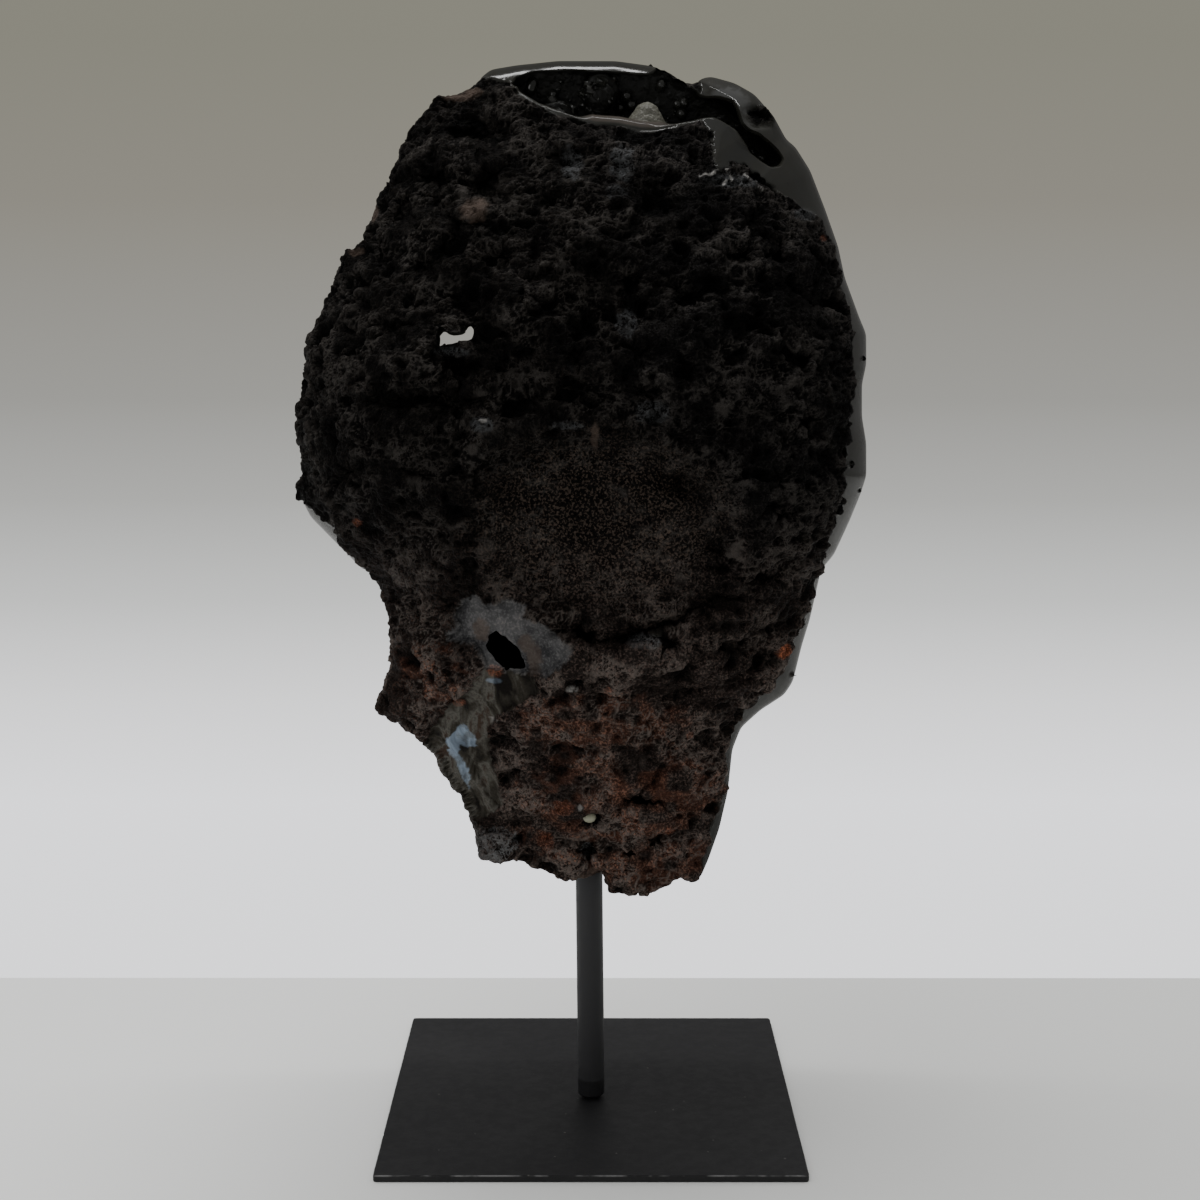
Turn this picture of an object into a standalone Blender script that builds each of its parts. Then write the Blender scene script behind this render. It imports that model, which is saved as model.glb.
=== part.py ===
"""Agate geode standing upright on a steel rod and plate.

The stone's rough basalt side faces -Y, its sawn and polished face +Y, and the plate lies on Z = 0.
Everything is in metres. Places on the stone are (x, z) pairs, as seen along +Y.
"""

import math

import bmesh
import bpy
import numpy as np
from mathutils import Matrix, Vector

MM = 0.001
GAP = 0.0003

PLATE_SIDE = 190.5 * MM
PLATE_THICKNESS = 3.2 * MM
PLATE_CORNER = 1.6 * MM
PLATE_BEVEL = 0.35 * MM
NICK_PLACE = -52 * MM
NICK_LENGTH = 5 * MM
NICK_DEPTH = 0.9 * MM

ROD_DIAMETER = 12.7 * MM
ROD_Y = -9 * MM
ROD_LEAN = math.radians(0.6)
ROD_CHAMFER = 1.6 * MM
ROD_SIDES = 36
SOCKET_TOP = 152 * MM

SCREW_SHANK = 6 * MM
SCREW_HEAD = 11.5 * MM
SCREW_HEAD_HEIGHT = 2.6 * MM
SCREW_LENGTH = 20 * MM
SCREW_SLOT = (8.5 * MM, 1.4 * MM, 1.1 * MM)
SCREW_SIDES = 24

BEAD_PLACE = (-1 * MM, 149 * MM)
BEAD_SIZE = (6.2 * MM, 5.0 * MM, 5.1 * MM)
BEAD_PROUD = 1.3 * MM

FACE_Y = 48 * MM
STONE_GRID = 7.4 * MM
HOLLOW_GRID = 12.0 * MM
DRUSE_GRID = 9.4 * MM
DRUSE_THICKNESS = 4.6 * MM
CRYSTAL_HEIGHT = 5.0 * MM

# The stone's outline, clockwise from the left end of its top ridge
OUTLINE = [
    (-52, 483), (-47, 487), (-35, 489), (-16, 491), (11, 491), (26, 489), (34, 487), (38, 483), (44, 481),
    (47, 478), (50, 483), (55, 484), (66, 481), (75, 476), (84, 466), (90, 455), (94, 452), (101, 441),
    (108, 423), (114, 406), (117, 392), (124, 373), (127, 366), (127, 352), (125, 343), (125, 328),
    (127, 316), (127, 301), (124, 292), (119, 280), (112, 265), (106, 258), (101, 236), (97, 223),
    (93, 207), (89, 201), (78, 194), (69, 186), (65, 176), (63, 157), (59, 140), (54, 126), (50, 117),
    (40, 118), (34, 114), (30, 111), (8, 110), (6, 120), (-7, 117), (-13, 117), (-27, 123), (-51, 127),
    (-53, 136), (-56, 146), (-60, 153), (-67, 162), (-73, 174), (-80, 182), (-89, 187), (-96, 191),
    (-100, 196), (-96, 205), (-92, 212), (-93, 227), (-93, 238), (-98, 253), (-107, 259), (-119, 271),
    (-130, 282), (-136, 294), (-133, 310), (-136, 322), (-136, 326), (-134, 337), (-131, 359),
    (-126, 375), (-121, 384), (-114, 403), (-106, 406), (-101, 422), (-91, 444), (-83, 461), (-72, 474),
    (-58, 476),
]

# Where the rough crust gives way to polished agate: right of this line, and left of the second one
POLISH_RIGHT = [
    (49, 462), (54, 456), (58, 443), (69, 441), (82, 430), (94, 423), (105, 413), (111, 399), (117, 378),
    (117, 345), (115, 320), (110, 297), (105, 274), (101, 250), (96, 236), (91, 226), (83, 211),
    (75, 201), (65, 189), (61, 176), (59, 154), (52, 131), (49, 121),
]
POLISH_LEFT = [(-132, 290), (-124, 285), (-116, 280), (-112, 270), (-104, 261)]

# The opening at the top: its near rim from left to right, then back along the knob
WINDOW = [
    (-33, 474), (-24, 469), (-15, 465), (-6, 462), (1, 460), (13, 459), (25, 457), (36, 459), (44, 461),
    (55, 463), (61, 460), (66, 455), (71, 447), (81, 441), (86, 443), (86, 448), (77, 455), (70, 460),
    (67, 468), (58, 473), (50, 476), (46, 496), (30, 496), (26, 485), (-12, 487), (-31, 486),
]
SEE_THROUGH = [
    (-65, 365), (-66, 361), (-60, 362), (-53, 364), (-50, 367), (-52, 370), (-55, 367), (-60, 366),
]
DARK_HOLE = [
    (-45, 235), (-42, 238), (-35, 233), (-31, 230), (-29, 221), (-38, 220), (-43, 225), (-46, 230),
]
HOLLOW = [
    (-48, 470), (-20, 476), (30, 474), (62, 462), (84, 440), (94, 412), (100, 376), (98, 330), (90, 286),
    (72, 250), (46, 226), (10, 214), (-30, 212), (-58, 226), (-78, 252), (-96, 290), (-104, 330),
    (-100, 372), (-88, 412), (-72, 446),
]
FRONT_OPENING = [
    (-38, 428), (-6, 437), (28, 430), (52, 410), (66, 380), (70, 345), (62, 308), (44, 274), (16, 252),
    (-14, 246), (-42, 256), (-64, 284), (-78, 322), (-80, 362), (-64, 402),
]
AGATE_PATCH = [
    (-62, 242), (-57, 250), (-46, 251), (-34, 252), (-28, 243), (-16, 237), (-8, 229), (-13, 225),
    (-20, 209), (-38, 205), (-46, 190), (-46, 176), (-38, 148), (-28, 133), (-53, 125), (-60, 150),
    (-76, 170), (-82, 186), (-64, 196), (-58, 214), (-64, 228),
]

# Vesicles and hollows of the crust: x, z, half width, half height, depth
PITS = [
    (-68, 433, 6, 5, 9), (-84, 419, 6, 6, 9), (-69, 423, 4, 4, 6), (-60, 408, 4, 3, 6), (-92, 400, 4, 3, 4),
    (-102, 388, 5, 4, 6), (-103, 379, 3, 3, 5), (-106, 366, 5, 3, 6), (-88, 366, 6, 5, 7),
    (-79, 371, 4, 2, 4), (-71, 395, 6, 5, 8), (-58, 455, 7, 4, 8), (-45, 435, 5, 4, 7), (-38, 399, 4, 3, 5),
    (-28, 388, 6, 4, 5), (63, 400, 6, 4, 11), (81, 401, 4, 3, 7), (54, 411, 4, 3, 6), (71, 413, 3, 4, 5),
    (42, 381, 6, 3, 8), (17, 387, 5, 4, 8), (21, 357, 7, 3, 6), (25, 340, 6, 3, 10), (40, 353, 3, 4, 5),
    (91, 356, 4, 3, 7), (104, 378, 7, 3, 7), (95, 331, 4, 4, 7), (56, 342, 5, 4, 6), (40, 303, 10, 6, 8),
    (81, 303, 4, 3, 7), (80, 291, 6, 4, 7), (55, 274, 3, 3, 5), (76, 260, 8, 3, 6), (92, 247, 4, 2, 4),
    (73, 226, 3, 2, 4), (67, 218, 5, 3, 4), (81, 213, 3, 3, 4), (-2, 234, 6, 4, 9), (28, 238, 9, 3, 9),
    (-77, 306, 6, 4, 6), (-106, 307, 4, 4, 6), (-60, 249, 4, 3, 6), (22, 157, 8, 3, 6), (28, 138, 5, 4, 3),
    (19, 130, 4, 4, 3), (-23, 150, 3, 3, 4), (44, 212, 3, 3, 4), (-7, 342, 5, 3, 6), (-5, 356, 5, 3, 6),
    (-22, 337, 8, 3, 5), (-69, 337, 26, 4, 9), (-61, 345, 14, 4, 7), (-57, 353, 10, 5, 10),
]
# Raised lumps, given the same way, with a height for the depth
LUMPS = [
    (-52, 420, 9, 9, 6), (-20, 452, 14, 7, 4), (20, 440, 16, 9, 5), (-30, 374, 16, 9, 4), (4, 400, 14, 8, 4),
    (48, 368, 14, 8, 4), (78, 380, 12, 8, 4), (84, 318, 12, 9, 3), (-112, 345, 12, 12, 4),
    (58, 312, 12, 8, 3), (50, 226, 20, 10, 4), (10, 196, 18, 10, 4), (-76, 218, 12, 14, 4),
    (38, 164, 14, 12, 3), (-2, 160, 14, 10, 3), (24, 118, 14, 6, 3), (-84, 200, 10, 8, 3),
]
SCOOP = (4, 284, 60, 44, 9)
SCOOP_RIDGE = [(-59, 306), (-46, 322), (-14, 331), (10, 327), (30, 322)]
CREASE = [(-12, 238), (0, 232), (14, 233), (28, 239), (42, 244), (56, 252)]
CREASE_DEPTH = 9 * MM
LEDGE_HEIGHT = 7 * MM
LEDGE_FADE = 30 * MM

DOME_DEPTH = 66 * MM
DOME_MIDDLE = 320 * MM
DOME_SPREAD = 165 * MM
DOME_REACH = 75 * MM
STONE_FOOT = 100 * MM
STONE_RISE = 385 * MM
EDGE_Y_AT_FOOT = -32 * MM
EDGE_Y_AT_TOP = 28 * MM
WALL = 9 * MM
FRONT_WALL = 11 * MM
HOLLOW_ROUND = 26 * MM
WALL_AT_LIP = 3.5 * MM
WALL_LIP_REACH = 24 * MM
WINDOW_DEPTH_Y = 22 * MM
CUTTER_NEAR_Y = -95 * MM
HOLE_FAR_Y = -8 * MM

# Stalactites of the hollow: root, tip (x, y, z), radius at the root and near the tip
STALACTITES = [
    ((20, 9, 436), (21, 12, 470), 13, 4.5),
    ((-24, 8, 482), (-25, 4, 428), 10, 4.5),
    ((-4, 14, 484), (-5, 12, 446), 8, 4.0),
    ((38, 12, 478), (41, 8, 412), 9, 4.0),
    ((-52, 4, 462), (-50, 2, 410), 8, 3.5),
    ((-8, -64, 300), (-10, -16, 290), 12, 5.0),
    ((40, -64, 340), (38, -22, 334), 10, 4.5),
    ((10, -20, 204), (9, -12, 240), 12, 5.0),
]
STALACTITE_SIDES = 9

SURFACES = {
    "basalt": ((0.045, 0.032, 0.028), 0.85, 0.0),
    "agate": ((0.16, 0.16, 0.155), 0.22, 0.0),
    "druse": ((0.20, 0.21, 0.18), 0.35, 0.0),
    "black paint": ((0.018, 0.018, 0.020), 0.48, 0.0),
    "zinc steel": ((0.46, 0.46, 0.44), 0.35, 1.0),
    "adhesive": ((0.50, 0.50, 0.36), 0.18, 0.0),
}


def surface(name):
    material = bpy.data.materials.get(name)
    if material is None:
        colour, roughness, metallic = SURFACES[name]
        material = bpy.data.materials.new(name)
        material.use_nodes = True
        shader = material.node_tree.nodes["Principled BSDF"]
        shader.inputs["Base Color"].default_value = (*colour, 1)
        shader.inputs["Roughness"].default_value = roughness
        shader.inputs["Metallic"].default_value = metallic
        material.diffuse_color = (*colour, 1)
    return material


def add_object(name, bm, material=None, smooth_below=None):
    """Turns the bmesh into an object; one with no material is a cutter, which isn't rendered."""
    bmesh.ops.recalc_face_normals(bm, faces=bm.faces)
    mesh = bpy.data.meshes.new(name)
    bm.to_mesh(mesh)
    bm.free()
    made = bpy.data.objects.new(name, mesh)
    bpy.context.scene.collection.objects.link(made)
    if material is None:
        made.hide_render = True
        made.display_type = "WIRE"
        return made
    mesh.materials.append(surface(material))
    if smooth_below is not None:
        mesh.shade_smooth()
        mesh.set_sharp_from_angle(angle=math.radians(smooth_below))
    return made


def cut(made, cutter, solver="EXACT"):
    modifier = made.modifiers.new(cutter.name, "BOOLEAN")
    modifier.operation = "DIFFERENCE"
    modifier.solver = solver
    modifier.object = cutter


def metres(points):
    return np.array(points, float) * MM


def smooth_step(value):
    t = np.clip(value, 0, 1)
    return t * t * (3 - 2 * t)


def line_distance(x, z, line, closed=False):
    """Distance of each place to a line of points."""
    ends = np.roll(line, -1, 0) if closed else line[1:]
    starts = line if closed else line[:-1]
    place = np.stack([np.ravel(x), np.ravel(z)], -1)[:, None]
    along = (ends - starts)[None]
    away = place - starts[None]
    share = np.clip((away * along).sum(-1) / (along * along).sum(-1), 0, 1)
    gaps = np.sqrt(((away - share[..., None] * along) ** 2).sum(-1))
    return gaps.min(1).reshape(np.shape(x))


def inside_distance(x, z, outline):
    """Distance to the outline, positive inside it."""
    x, z = np.asarray(x, float), np.asarray(z, float)
    after = np.roll(outline, -1, 0)
    place_x, place_z = x.reshape(-1, 1), z.reshape(-1, 1)
    crosses = (outline[:, 1] > place_z) != (after[:, 1] > place_z)
    rise = after[:, 1] - outline[:, 1]
    rise = np.where(rise == 0, 1e-12, rise)
    meets = outline[:, 0] + (place_z - outline[:, 1]) / rise * (after[:, 0] - outline[:, 0])
    inside = (crosses & (place_x < meets)).sum(1) % 2 == 1
    gaps = line_distance(x, z, outline, closed=True)
    return np.where(inside.reshape(x.shape), gaps, -gaps)


def nearest_on_outline(point, outline):
    starts = outline
    along = np.roll(outline, -1, 0) - starts
    share = np.clip(((point - starts) * along).sum(1) / (along * along).sum(1), 0, 1)
    places = starts + share[:, None] * along
    return places[np.argmin(((places - point) ** 2).sum(1))]


def inset(outline, amount):
    """The outline moved inwards by the amount at each of its points."""
    before, after = np.roll(outline, 1, 0), np.roll(outline, -1, 0)
    along = after - before
    along /= np.linalg.norm(along, axis=1)[:, None]
    inwards = np.stack([along[:, 1], -along[:, 0]], -1)
    return outline + amount * inwards


def random_at(i, j, seed):
    """A fixed random number from -1 to 1 for each pair of whole numbers."""
    mixed = (i * 374761393 + j * 668265263 + seed * 974634777) & 0xFFFFFFFF
    mixed = ((mixed ^ (mixed >> 13)) * 1274126177) & 0xFFFFFFFF
    mixed ^= mixed >> 16
    return mixed / 0x7FFFFFFF - 1


def lattice_noise(x, z, width, height, seed):
    """Random numbers on a lattice of width by height cells, joined by smooth steps."""
    column, row = np.floor(x / width).astype(np.int64), np.floor(z / height).astype(np.int64)
    u, v = smooth_step(x / width - column), smooth_step(z / height - row)
    lower = random_at(column, row, seed) * (1 - u) + random_at(column + 1, row, seed) * u
    upper = random_at(column, row + 1, seed) * (1 - u) + random_at(column + 1, row + 1, seed) * u
    return lower * (1 - v) + upper * v


def edge_y(z):
    """Where the stone is widest: the section leans from the foot's near side to the ridge's far side."""
    return EDGE_Y_AT_FOOT + (EDGE_Y_AT_TOP - EDGE_Y_AT_FOOT) * (z - STONE_FOOT) / STONE_RISE


def dome_y(x, z, outline):
    """The crust without its relief: a dome that rises from the outline towards -Y."""
    share = np.clip(inside_distance(x, z, outline) / DOME_REACH, 0, 1)
    depth = DOME_DEPTH * np.exp(-np.abs((z - DOME_MIDDLE) / DOME_SPREAD) ** 2.2)
    return edge_y(z) - depth * (1 - (1 - share) ** 2) ** 0.75


def polish(x, z):
    """1 on polished agate and 0 on the rough crust."""
    right = np.vstack([metres(POLISH_RIGHT), metres([(49, 90), (170, 90), (170, 520), (49, 520)])])
    left = np.vstack([metres(POLISH_LEFT), metres([(-108, 250), (-160, 250), (-160, 300)])])
    most = np.maximum(inside_distance(x, z, right), inside_distance(x, z, left))
    return smooth_step(most / (3 * MM) + 0.5)


def oval(x, z, middle_x, middle_z, half_width, half_height):
    return ((x / MM - middle_x) / half_width) ** 2 + ((z / MM - middle_z) / half_height) ** 2


def relief(x, z):
    """How far the crust stands back from the dome: lumps and ledges are negative, pits positive."""
    scooped = smooth_step(1.25 - oval(x, z, *SCOOP[:4]))
    smooth_agate = smooth_step(inside_distance(x, z, metres(AGATE_PATCH)) / (4 * MM) + 0.3)
    wild = (1 - 0.65 * scooped) * (1 - 0.75 * smooth_agate)
    height = 3.4 * lattice_noise(x, z, 34 * MM, 21 * MM, 5) + 2.4 * lattice_noise(x, z, 16 * MM, 11 * MM, 9)
    back = -height * MM * wild + SCOOP[4] * MM * scooped
    back -= 3.5 * MM * np.exp(-((line_distance(x, z, metres(SCOOP_RIDGE)) / (5 * MM)) ** 2))
    crease = metres(CREASE)
    back += CREASE_DEPTH * np.exp(-((line_distance(x, z, crease) / (4.5 * MM)) ** 2))
    below = np.interp(x, crease[:, 0], crease[:, 1]) - z
    beside = smooth_step((x - crease[0, 0]) / (12 * MM) + 1) * smooth_step((crease[-1, 0] - x) / (12 * MM) + 1)
    back -= LEDGE_HEIGHT * beside * smooth_step(below / (5 * MM)) * np.exp(-np.clip(below, 0, 1) / LEDGE_FADE)
    for sign, blobs in ((1, PITS), (-1, LUMPS)):
        for middle_x, middle_z, half_width, half_height, depth in blobs:
            least = 0.6 * STONE_GRID / MM
            spread = oval(x, z, middle_x, middle_z, max(half_width, least), max(half_height, least))
            back += sign * depth * MM * np.exp(-(spread**1.5))
    return back * (1 - polish(x, z))


def wall_thickness(x, z):
    """The crust over the hollow thins towards the lips of the window and the holes."""
    gap = np.minimum.reduce([
        -inside_distance(x, z, metres(lip)) for lip in (WINDOW, SEE_THROUGH, DARK_HOLE)
    ])
    return WALL_AT_LIP + (2 * WALL - WALL_AT_LIP) * smooth_step(gap / WALL_LIP_REACH)


def hollow_sides(x, z):
    """Back and front of the hollow at each place, before its edge is rounded."""
    wall = np.maximum(wall_thickness(x, z), relief(x, z) + WALL_AT_LIP)
    back = dome_y(x, z, metres(OUTLINE)) + wall + 1.5 * MM * lattice_noise(x, z, 22 * MM, 22 * MM, 3)
    return back, np.full(np.shape(x), FACE_Y - FRONT_WALL)


def trimmed_grid(outline, spacing):
    """A bmesh grid of the spacing, cut along the outline; its border corners lie on the outline."""
    low, high = outline.min(0) - spacing, outline.max(0) + spacing
    columns, rows = np.ceil((high - low) / spacing).astype(int)
    bm = bmesh.new()
    bmesh.ops.create_grid(bm, x_segments=int(columns), y_segments=int(rows), size=0.5)
    for vert in bm.verts:
        across, up = vert.co.x + 0.5, vert.co.y + 0.5
        vert.co = (low[0] + across * columns * spacing, 0, low[1] + up * rows * spacing)
    places = np.array([(v.co.x, v.co.z) for v in bm.verts])
    distance = inside_distance(places[:, 0], places[:, 1], outline)
    outer = {v for v, gap in zip(bm.verts, distance) if gap < -0.3 * spacing}
    bmesh.ops.delete(bm, geom=list(outer), context="VERTS")
    pinched = True
    while pinched:
        pinched = [v for v in bm.verts if sum(e.is_boundary for e in v.link_edges) != 2 and v.is_boundary]
        pinched += [v for v in bm.verts if not v.link_faces]
        bmesh.ops.delete(bm, geom=pinched, context="VERTS")
    border = [v for v in bm.verts if v.is_boundary]
    for vert in border:
        spot = nearest_on_outline(np.array((vert.co.x, vert.co.z)), outline)
        vert.co.x, vert.co.z = spot
    for corner in outline:
        closest = min(border, key=lambda v: (v.co.x - corner[0]) ** 2 + (v.co.z - corner[1]) ** 2)
        if math.hypot(closest.co.x - corner[0], closest.co.z - corner[1]) < 0.5 * spacing:
            closest.co.x, closest.co.z = corner
    return bm


def snap_to_pits(bm, spacing):
    """Moves the nearest inner corner of the grid to the middle of each pit, so that it has its full depth."""
    inner = [v for v in bm.verts if not v.is_boundary]
    for middle_x, middle_z, *_ in PITS:
        x, z = middle_x * MM, middle_z * MM
        closest = min(inner, key=lambda v: (v.co.x - x) ** 2 + (v.co.z - z) ** 2)
        if math.hypot(closest.co.x - x, closest.co.z - z) < 0.6 * spacing:
            closest.co.x, closest.co.z = x, z
            inner.remove(closest)


def border_loop(bm):
    """The border's corners in order."""
    edge = next(e for e in bm.edges if e.is_boundary)
    first, vert = edge.verts
    loop = [first]
    while vert is not first:
        loop.append(vert)
        edge = next(e for e in vert.link_edges if e.is_boundary and e is not edge)
        vert = edge.other_vert(vert)
    return loop


def set_depth(bm, depth):
    """Moves each corner to y = depth(x, z), worked out for all corners at once."""
    places = np.array([(v.co.x, v.co.z) for v in bm.verts])
    for vert, y in zip(bm.verts, depth(places[:, 0], places[:, 1])):
        vert.co.y = y


def smoothed(ring, rounds):
    for _ in range(rounds):
        ring = (np.roll(ring, 1, 0) + 2 * ring + np.roll(ring, -1, 0)) / 4
    return ring


def stone_blank():
    """Crust side from the trimmed grid, then rings that carry its border to the flat sawn face."""
    outline = metres(OUTLINE)
    bm = trimmed_grid(outline, STONE_GRID)
    snap_to_pits(bm, STONE_GRID)
    set_depth(bm, lambda x, z: dome_y(x, z, outline) + relief(x, z))
    ring = border_loop(bm)
    start = np.array([v.co for v in ring])
    start[:, 1] = edge_y(start[:, 2])
    for vert, y in zip(ring, start[:, 1]):
        vert.co.y = y
    middle = np.array((0, 0, DOME_MIDDLE))
    for rounds, size, share in ((2, 0.997, 0.55), (5, 0.985, 0.86), (8, 0.962, 1.0)):
        places = middle + size * (smoothed(start, rounds) - middle)
        places[:, 1] = start[:, 1] + share * (FACE_Y - start[:, 1])
        after = [bm.verts.new(place) for place in places]
        for i, vert in enumerate(after):
            bm.faces.new((ring[i - 1], ring[i], vert, after[i - 1]))
        ring = after
    bm.faces.new(ring)
    bmesh.ops.triangulate(bm, faces=bm.faces)
    return bm


def pillow(outline, spacing, back_inset=0.0, crystals=0.0):
    """The hollow's form, smaller by back_inset all round, with the corners of its grid as crystal tips."""
    bm = trimmed_grid(inset(outline, back_inset), spacing)
    border = {v for v in bm.verts if v.is_boundary}
    places = np.array([(v.co.x, v.co.z) for v in bm.verts])
    x, z = places[:, 0], places[:, 1]
    back, front = hollow_sides(x, z)
    depth = np.clip(inside_distance(x, z, inset(outline, back_inset)) / HOLLOW_ROUND, 0, 1)
    middle = (back + front) / 2
    half = ((front - back) / 2 - back_inset) * np.sqrt(1 - (1 - depth) ** 2)
    column, row = np.round(x / spacing).astype(np.int64), np.round(z / spacing).astype(np.int64)
    tips = np.where((column + row) % 2 == 0, 0.5 + 0.5 * random_at(column, row, 21), 0)
    half -= crystals * tips * np.minimum(1, half / (6 * MM))
    far = {}
    for vert, y_back, y_front in zip(list(bm.verts), middle - half, middle + half):
        vert.co.y = (y_back + y_front) / 2 if vert in border else y_back
        far[vert] = vert if vert in border else bm.verts.new((vert.co.x, y_front, vert.co.z))
    for face in list(bm.faces):
        bm.faces.new([far[v] for v in reversed(face.verts)])
    bmesh.ops.triangulate(bm, faces=bm.faces)
    bmesh.ops.recalc_face_normals(bm, faces=bm.faces)
    return bm


def shrunk(bm, amount):
    """Moves each corner inwards along its normal."""
    bm.normal_update()
    for vert in bm.verts:
        vert.co -= amount * vert.normal
    return bm


def prism(outline, near_y, far_y, far_size=1.0):
    """The outline carried from near_y to far_y, where it is far_size times as large."""
    bm = bmesh.new()
    middle = outline.mean(0)
    near = [bm.verts.new((x, near_y, z)) for x, z in outline]
    far = [bm.verts.new((x, far_y, z)) for x, z in middle + far_size * (outline - middle)]
    bm.faces.new(near)
    bm.faces.new(far)
    for i in range(len(near)):
        bm.faces.new((near[i - 1], near[i], far[i], far[i - 1]))
    return bm


def turned(profile, sides):
    """The (radius, height) profile turned about Z; both its ends lie on the axis or are capped."""
    bm = bmesh.new()
    rings = []
    for radius, height in profile:
        angles = [2 * math.pi * i / sides for i in range(sides)]
        rings.append([bm.verts.new((radius * math.cos(a), radius * math.sin(a), height)) for a in angles])
    for lower, upper in zip(rings, rings[1:]):
        for i in range(sides):
            bm.faces.new((lower[i - 1], lower[i], upper[i], upper[i - 1]))
    bm.faces.new(rings[0])
    bm.faces.new(rings[-1])
    return bm


def rounded_rod(root, tip, root_radius, tip_radius):
    """A stalactite: a lumpy cone with a blunt tip, from root to tip."""
    start, end = np.array(root) * MM, np.array(tip) * MM
    length = float(np.linalg.norm(end - start))
    swell = ((0, 1.0), (0.3, 0.92), (0.55, 0.70), (0.8, 0.80), (0.93, 0.62), (1.0, 0.2))
    profile = [
        (MM * share * (root_radius + (tip_radius - root_radius) * along), along * length)
        for along, share in swell
    ]
    bm = turned(profile, STALACTITE_SIDES)
    turn = Vector((0, 0, 1)).rotation_difference(Vector(end - start)).to_matrix().to_4x4()
    bmesh.ops.transform(bm, matrix=Matrix.Translation(start) @ turn, verts=bm.verts)
    return bm


def rounded_square(side, radius, height):
    """A flat plate with round corners, standing on Z = 0."""
    bm = bmesh.new()
    bmesh.ops.create_cube(bm, size=1, matrix=Matrix.Diagonal((side, side, height, 1)))
    upright = [e for e in bm.edges if abs(e.verts[0].co.z - e.verts[1].co.z) > height / 2]
    bmesh.ops.bevel(bm, geom=upright, offset=radius, segments=4, profile=0.5, affect="EDGES")
    rims = [e for e in bm.edges if len({round(v.co.z, 5) for v in e.verts}) == 1 and len(e.link_faces) == 2]
    rims = [e for e in rims if abs(e.link_faces[0].normal.z - e.link_faces[1].normal.z) > 0.5]
    bmesh.ops.bevel(bm, geom=rims, offset=PLATE_BEVEL, segments=1, affect="EDGES")
    bmesh.ops.translate(bm, vec=(0, 0, height / 2), verts=bm.verts)
    return bm


def make_base_plate():
    plate = add_object("base_plate", rounded_square(PLATE_SIDE, PLATE_CORNER, PLATE_THICKNESS), "black paint")
    over = 1 * MM
    sink = turned(
        [
            (SCREW_HEAD / 2 + GAP + over, -over),
            (SCREW_HEAD / 2 + GAP, 0),
            (SCREW_SHANK / 2 + GAP, SCREW_HEAD_HEIGHT + GAP),
            (SCREW_SHANK / 2 + GAP, PLATE_THICKNESS + over),
        ],
        SCREW_SIDES,
    )
    bmesh.ops.translate(sink, vec=(0, ROD_Y, 0), verts=sink.verts)
    cut(plate, add_object("cutter_countersink", sink))
    half = PLATE_SIDE / 2
    dent = [
        (-half - NICK_DEPTH, NICK_PLACE - NICK_LENGTH / 2),
        (-half + NICK_DEPTH, NICK_PLACE - NICK_LENGTH / 6),
        (-half + 0.6 * NICK_DEPTH, NICK_PLACE + NICK_LENGTH / 4),
        (-half - NICK_DEPTH, NICK_PLACE + NICK_LENGTH / 2),
    ]
    bm = bmesh.new()
    bottom = [bm.verts.new((x, y, -over)) for x, y in dent]
    raised = bmesh.ops.extrude_face_region(bm, geom=[bm.faces.new(bottom)])["geom"]
    top = [v for v in raised if isinstance(v, bmesh.types.BMVert)]
    bmesh.ops.translate(bm, vec=(0, 0, PLATE_THICKNESS + 2 * over), verts=top)
    cut(plate, add_object("cutter_nick", bm))
    return plate


def make_base_screw():
    core = SCREW_SHANK / 2
    profile = [(SCREW_HEAD / 2, GAP), (core, SCREW_HEAD_HEIGHT), (core, SCREW_LENGTH - core / 3)]
    profile.append((core * 0.7, SCREW_LENGTH))
    screw = add_object("base_screw", turned(profile, SCREW_SIDES), "zinc steel", 35)
    length, width, depth = SCREW_SLOT
    slot = bmesh.new()
    bmesh.ops.create_cube(slot, size=1, matrix=Matrix.Diagonal((length, width, 2 * depth, 1)))
    bmesh.ops.translate(slot, vec=(0, ROD_Y, GAP), verts=slot.verts)
    bmesh.ops.rotate(slot, matrix=Matrix.Rotation(0.5, 3, "Z"), cent=(0, ROD_Y, 0), verts=slot.verts)
    screw.location = (0, ROD_Y, 0)
    cut(screw, add_object("cutter_slot", slot))
    return screw


def lean_about_foot(bm):
    """Turns an upright piece by the rod's lean, about the rod's foot, and moves it there."""
    turn = Matrix.Rotation(-ROD_LEAN, 4, "Y")
    foot = Matrix.Translation((0, ROD_Y, PLATE_THICKNESS))
    bmesh.ops.transform(bm, matrix=foot @ turn, verts=bm.verts)
    return bm


def make_rod():
    radius = ROD_DIAMETER / 2
    length = SOCKET_TOP - PLATE_THICKNESS - 2 * GAP
    profile = [
        (radius - ROD_CHAMFER, 2 * GAP),
        (radius, 2 * GAP + ROD_CHAMFER),
        (radius, length - ROD_CHAMFER / 2),
        (radius - ROD_CHAMFER / 2, length),
    ]
    rod = add_object("rod", lean_about_foot(turned(profile, ROD_SIDES)), "black paint", 40)
    core = SCREW_SHANK / 2 + 2 * GAP
    tapped = turned([(core, -1 * MM), (core, SCREW_LENGTH), (core / 2, SCREW_LENGTH + core / 2)], SCREW_SIDES)
    cut(rod, add_object("cutter_tapped_hole", lean_about_foot(tapped)))
    return rod


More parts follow.
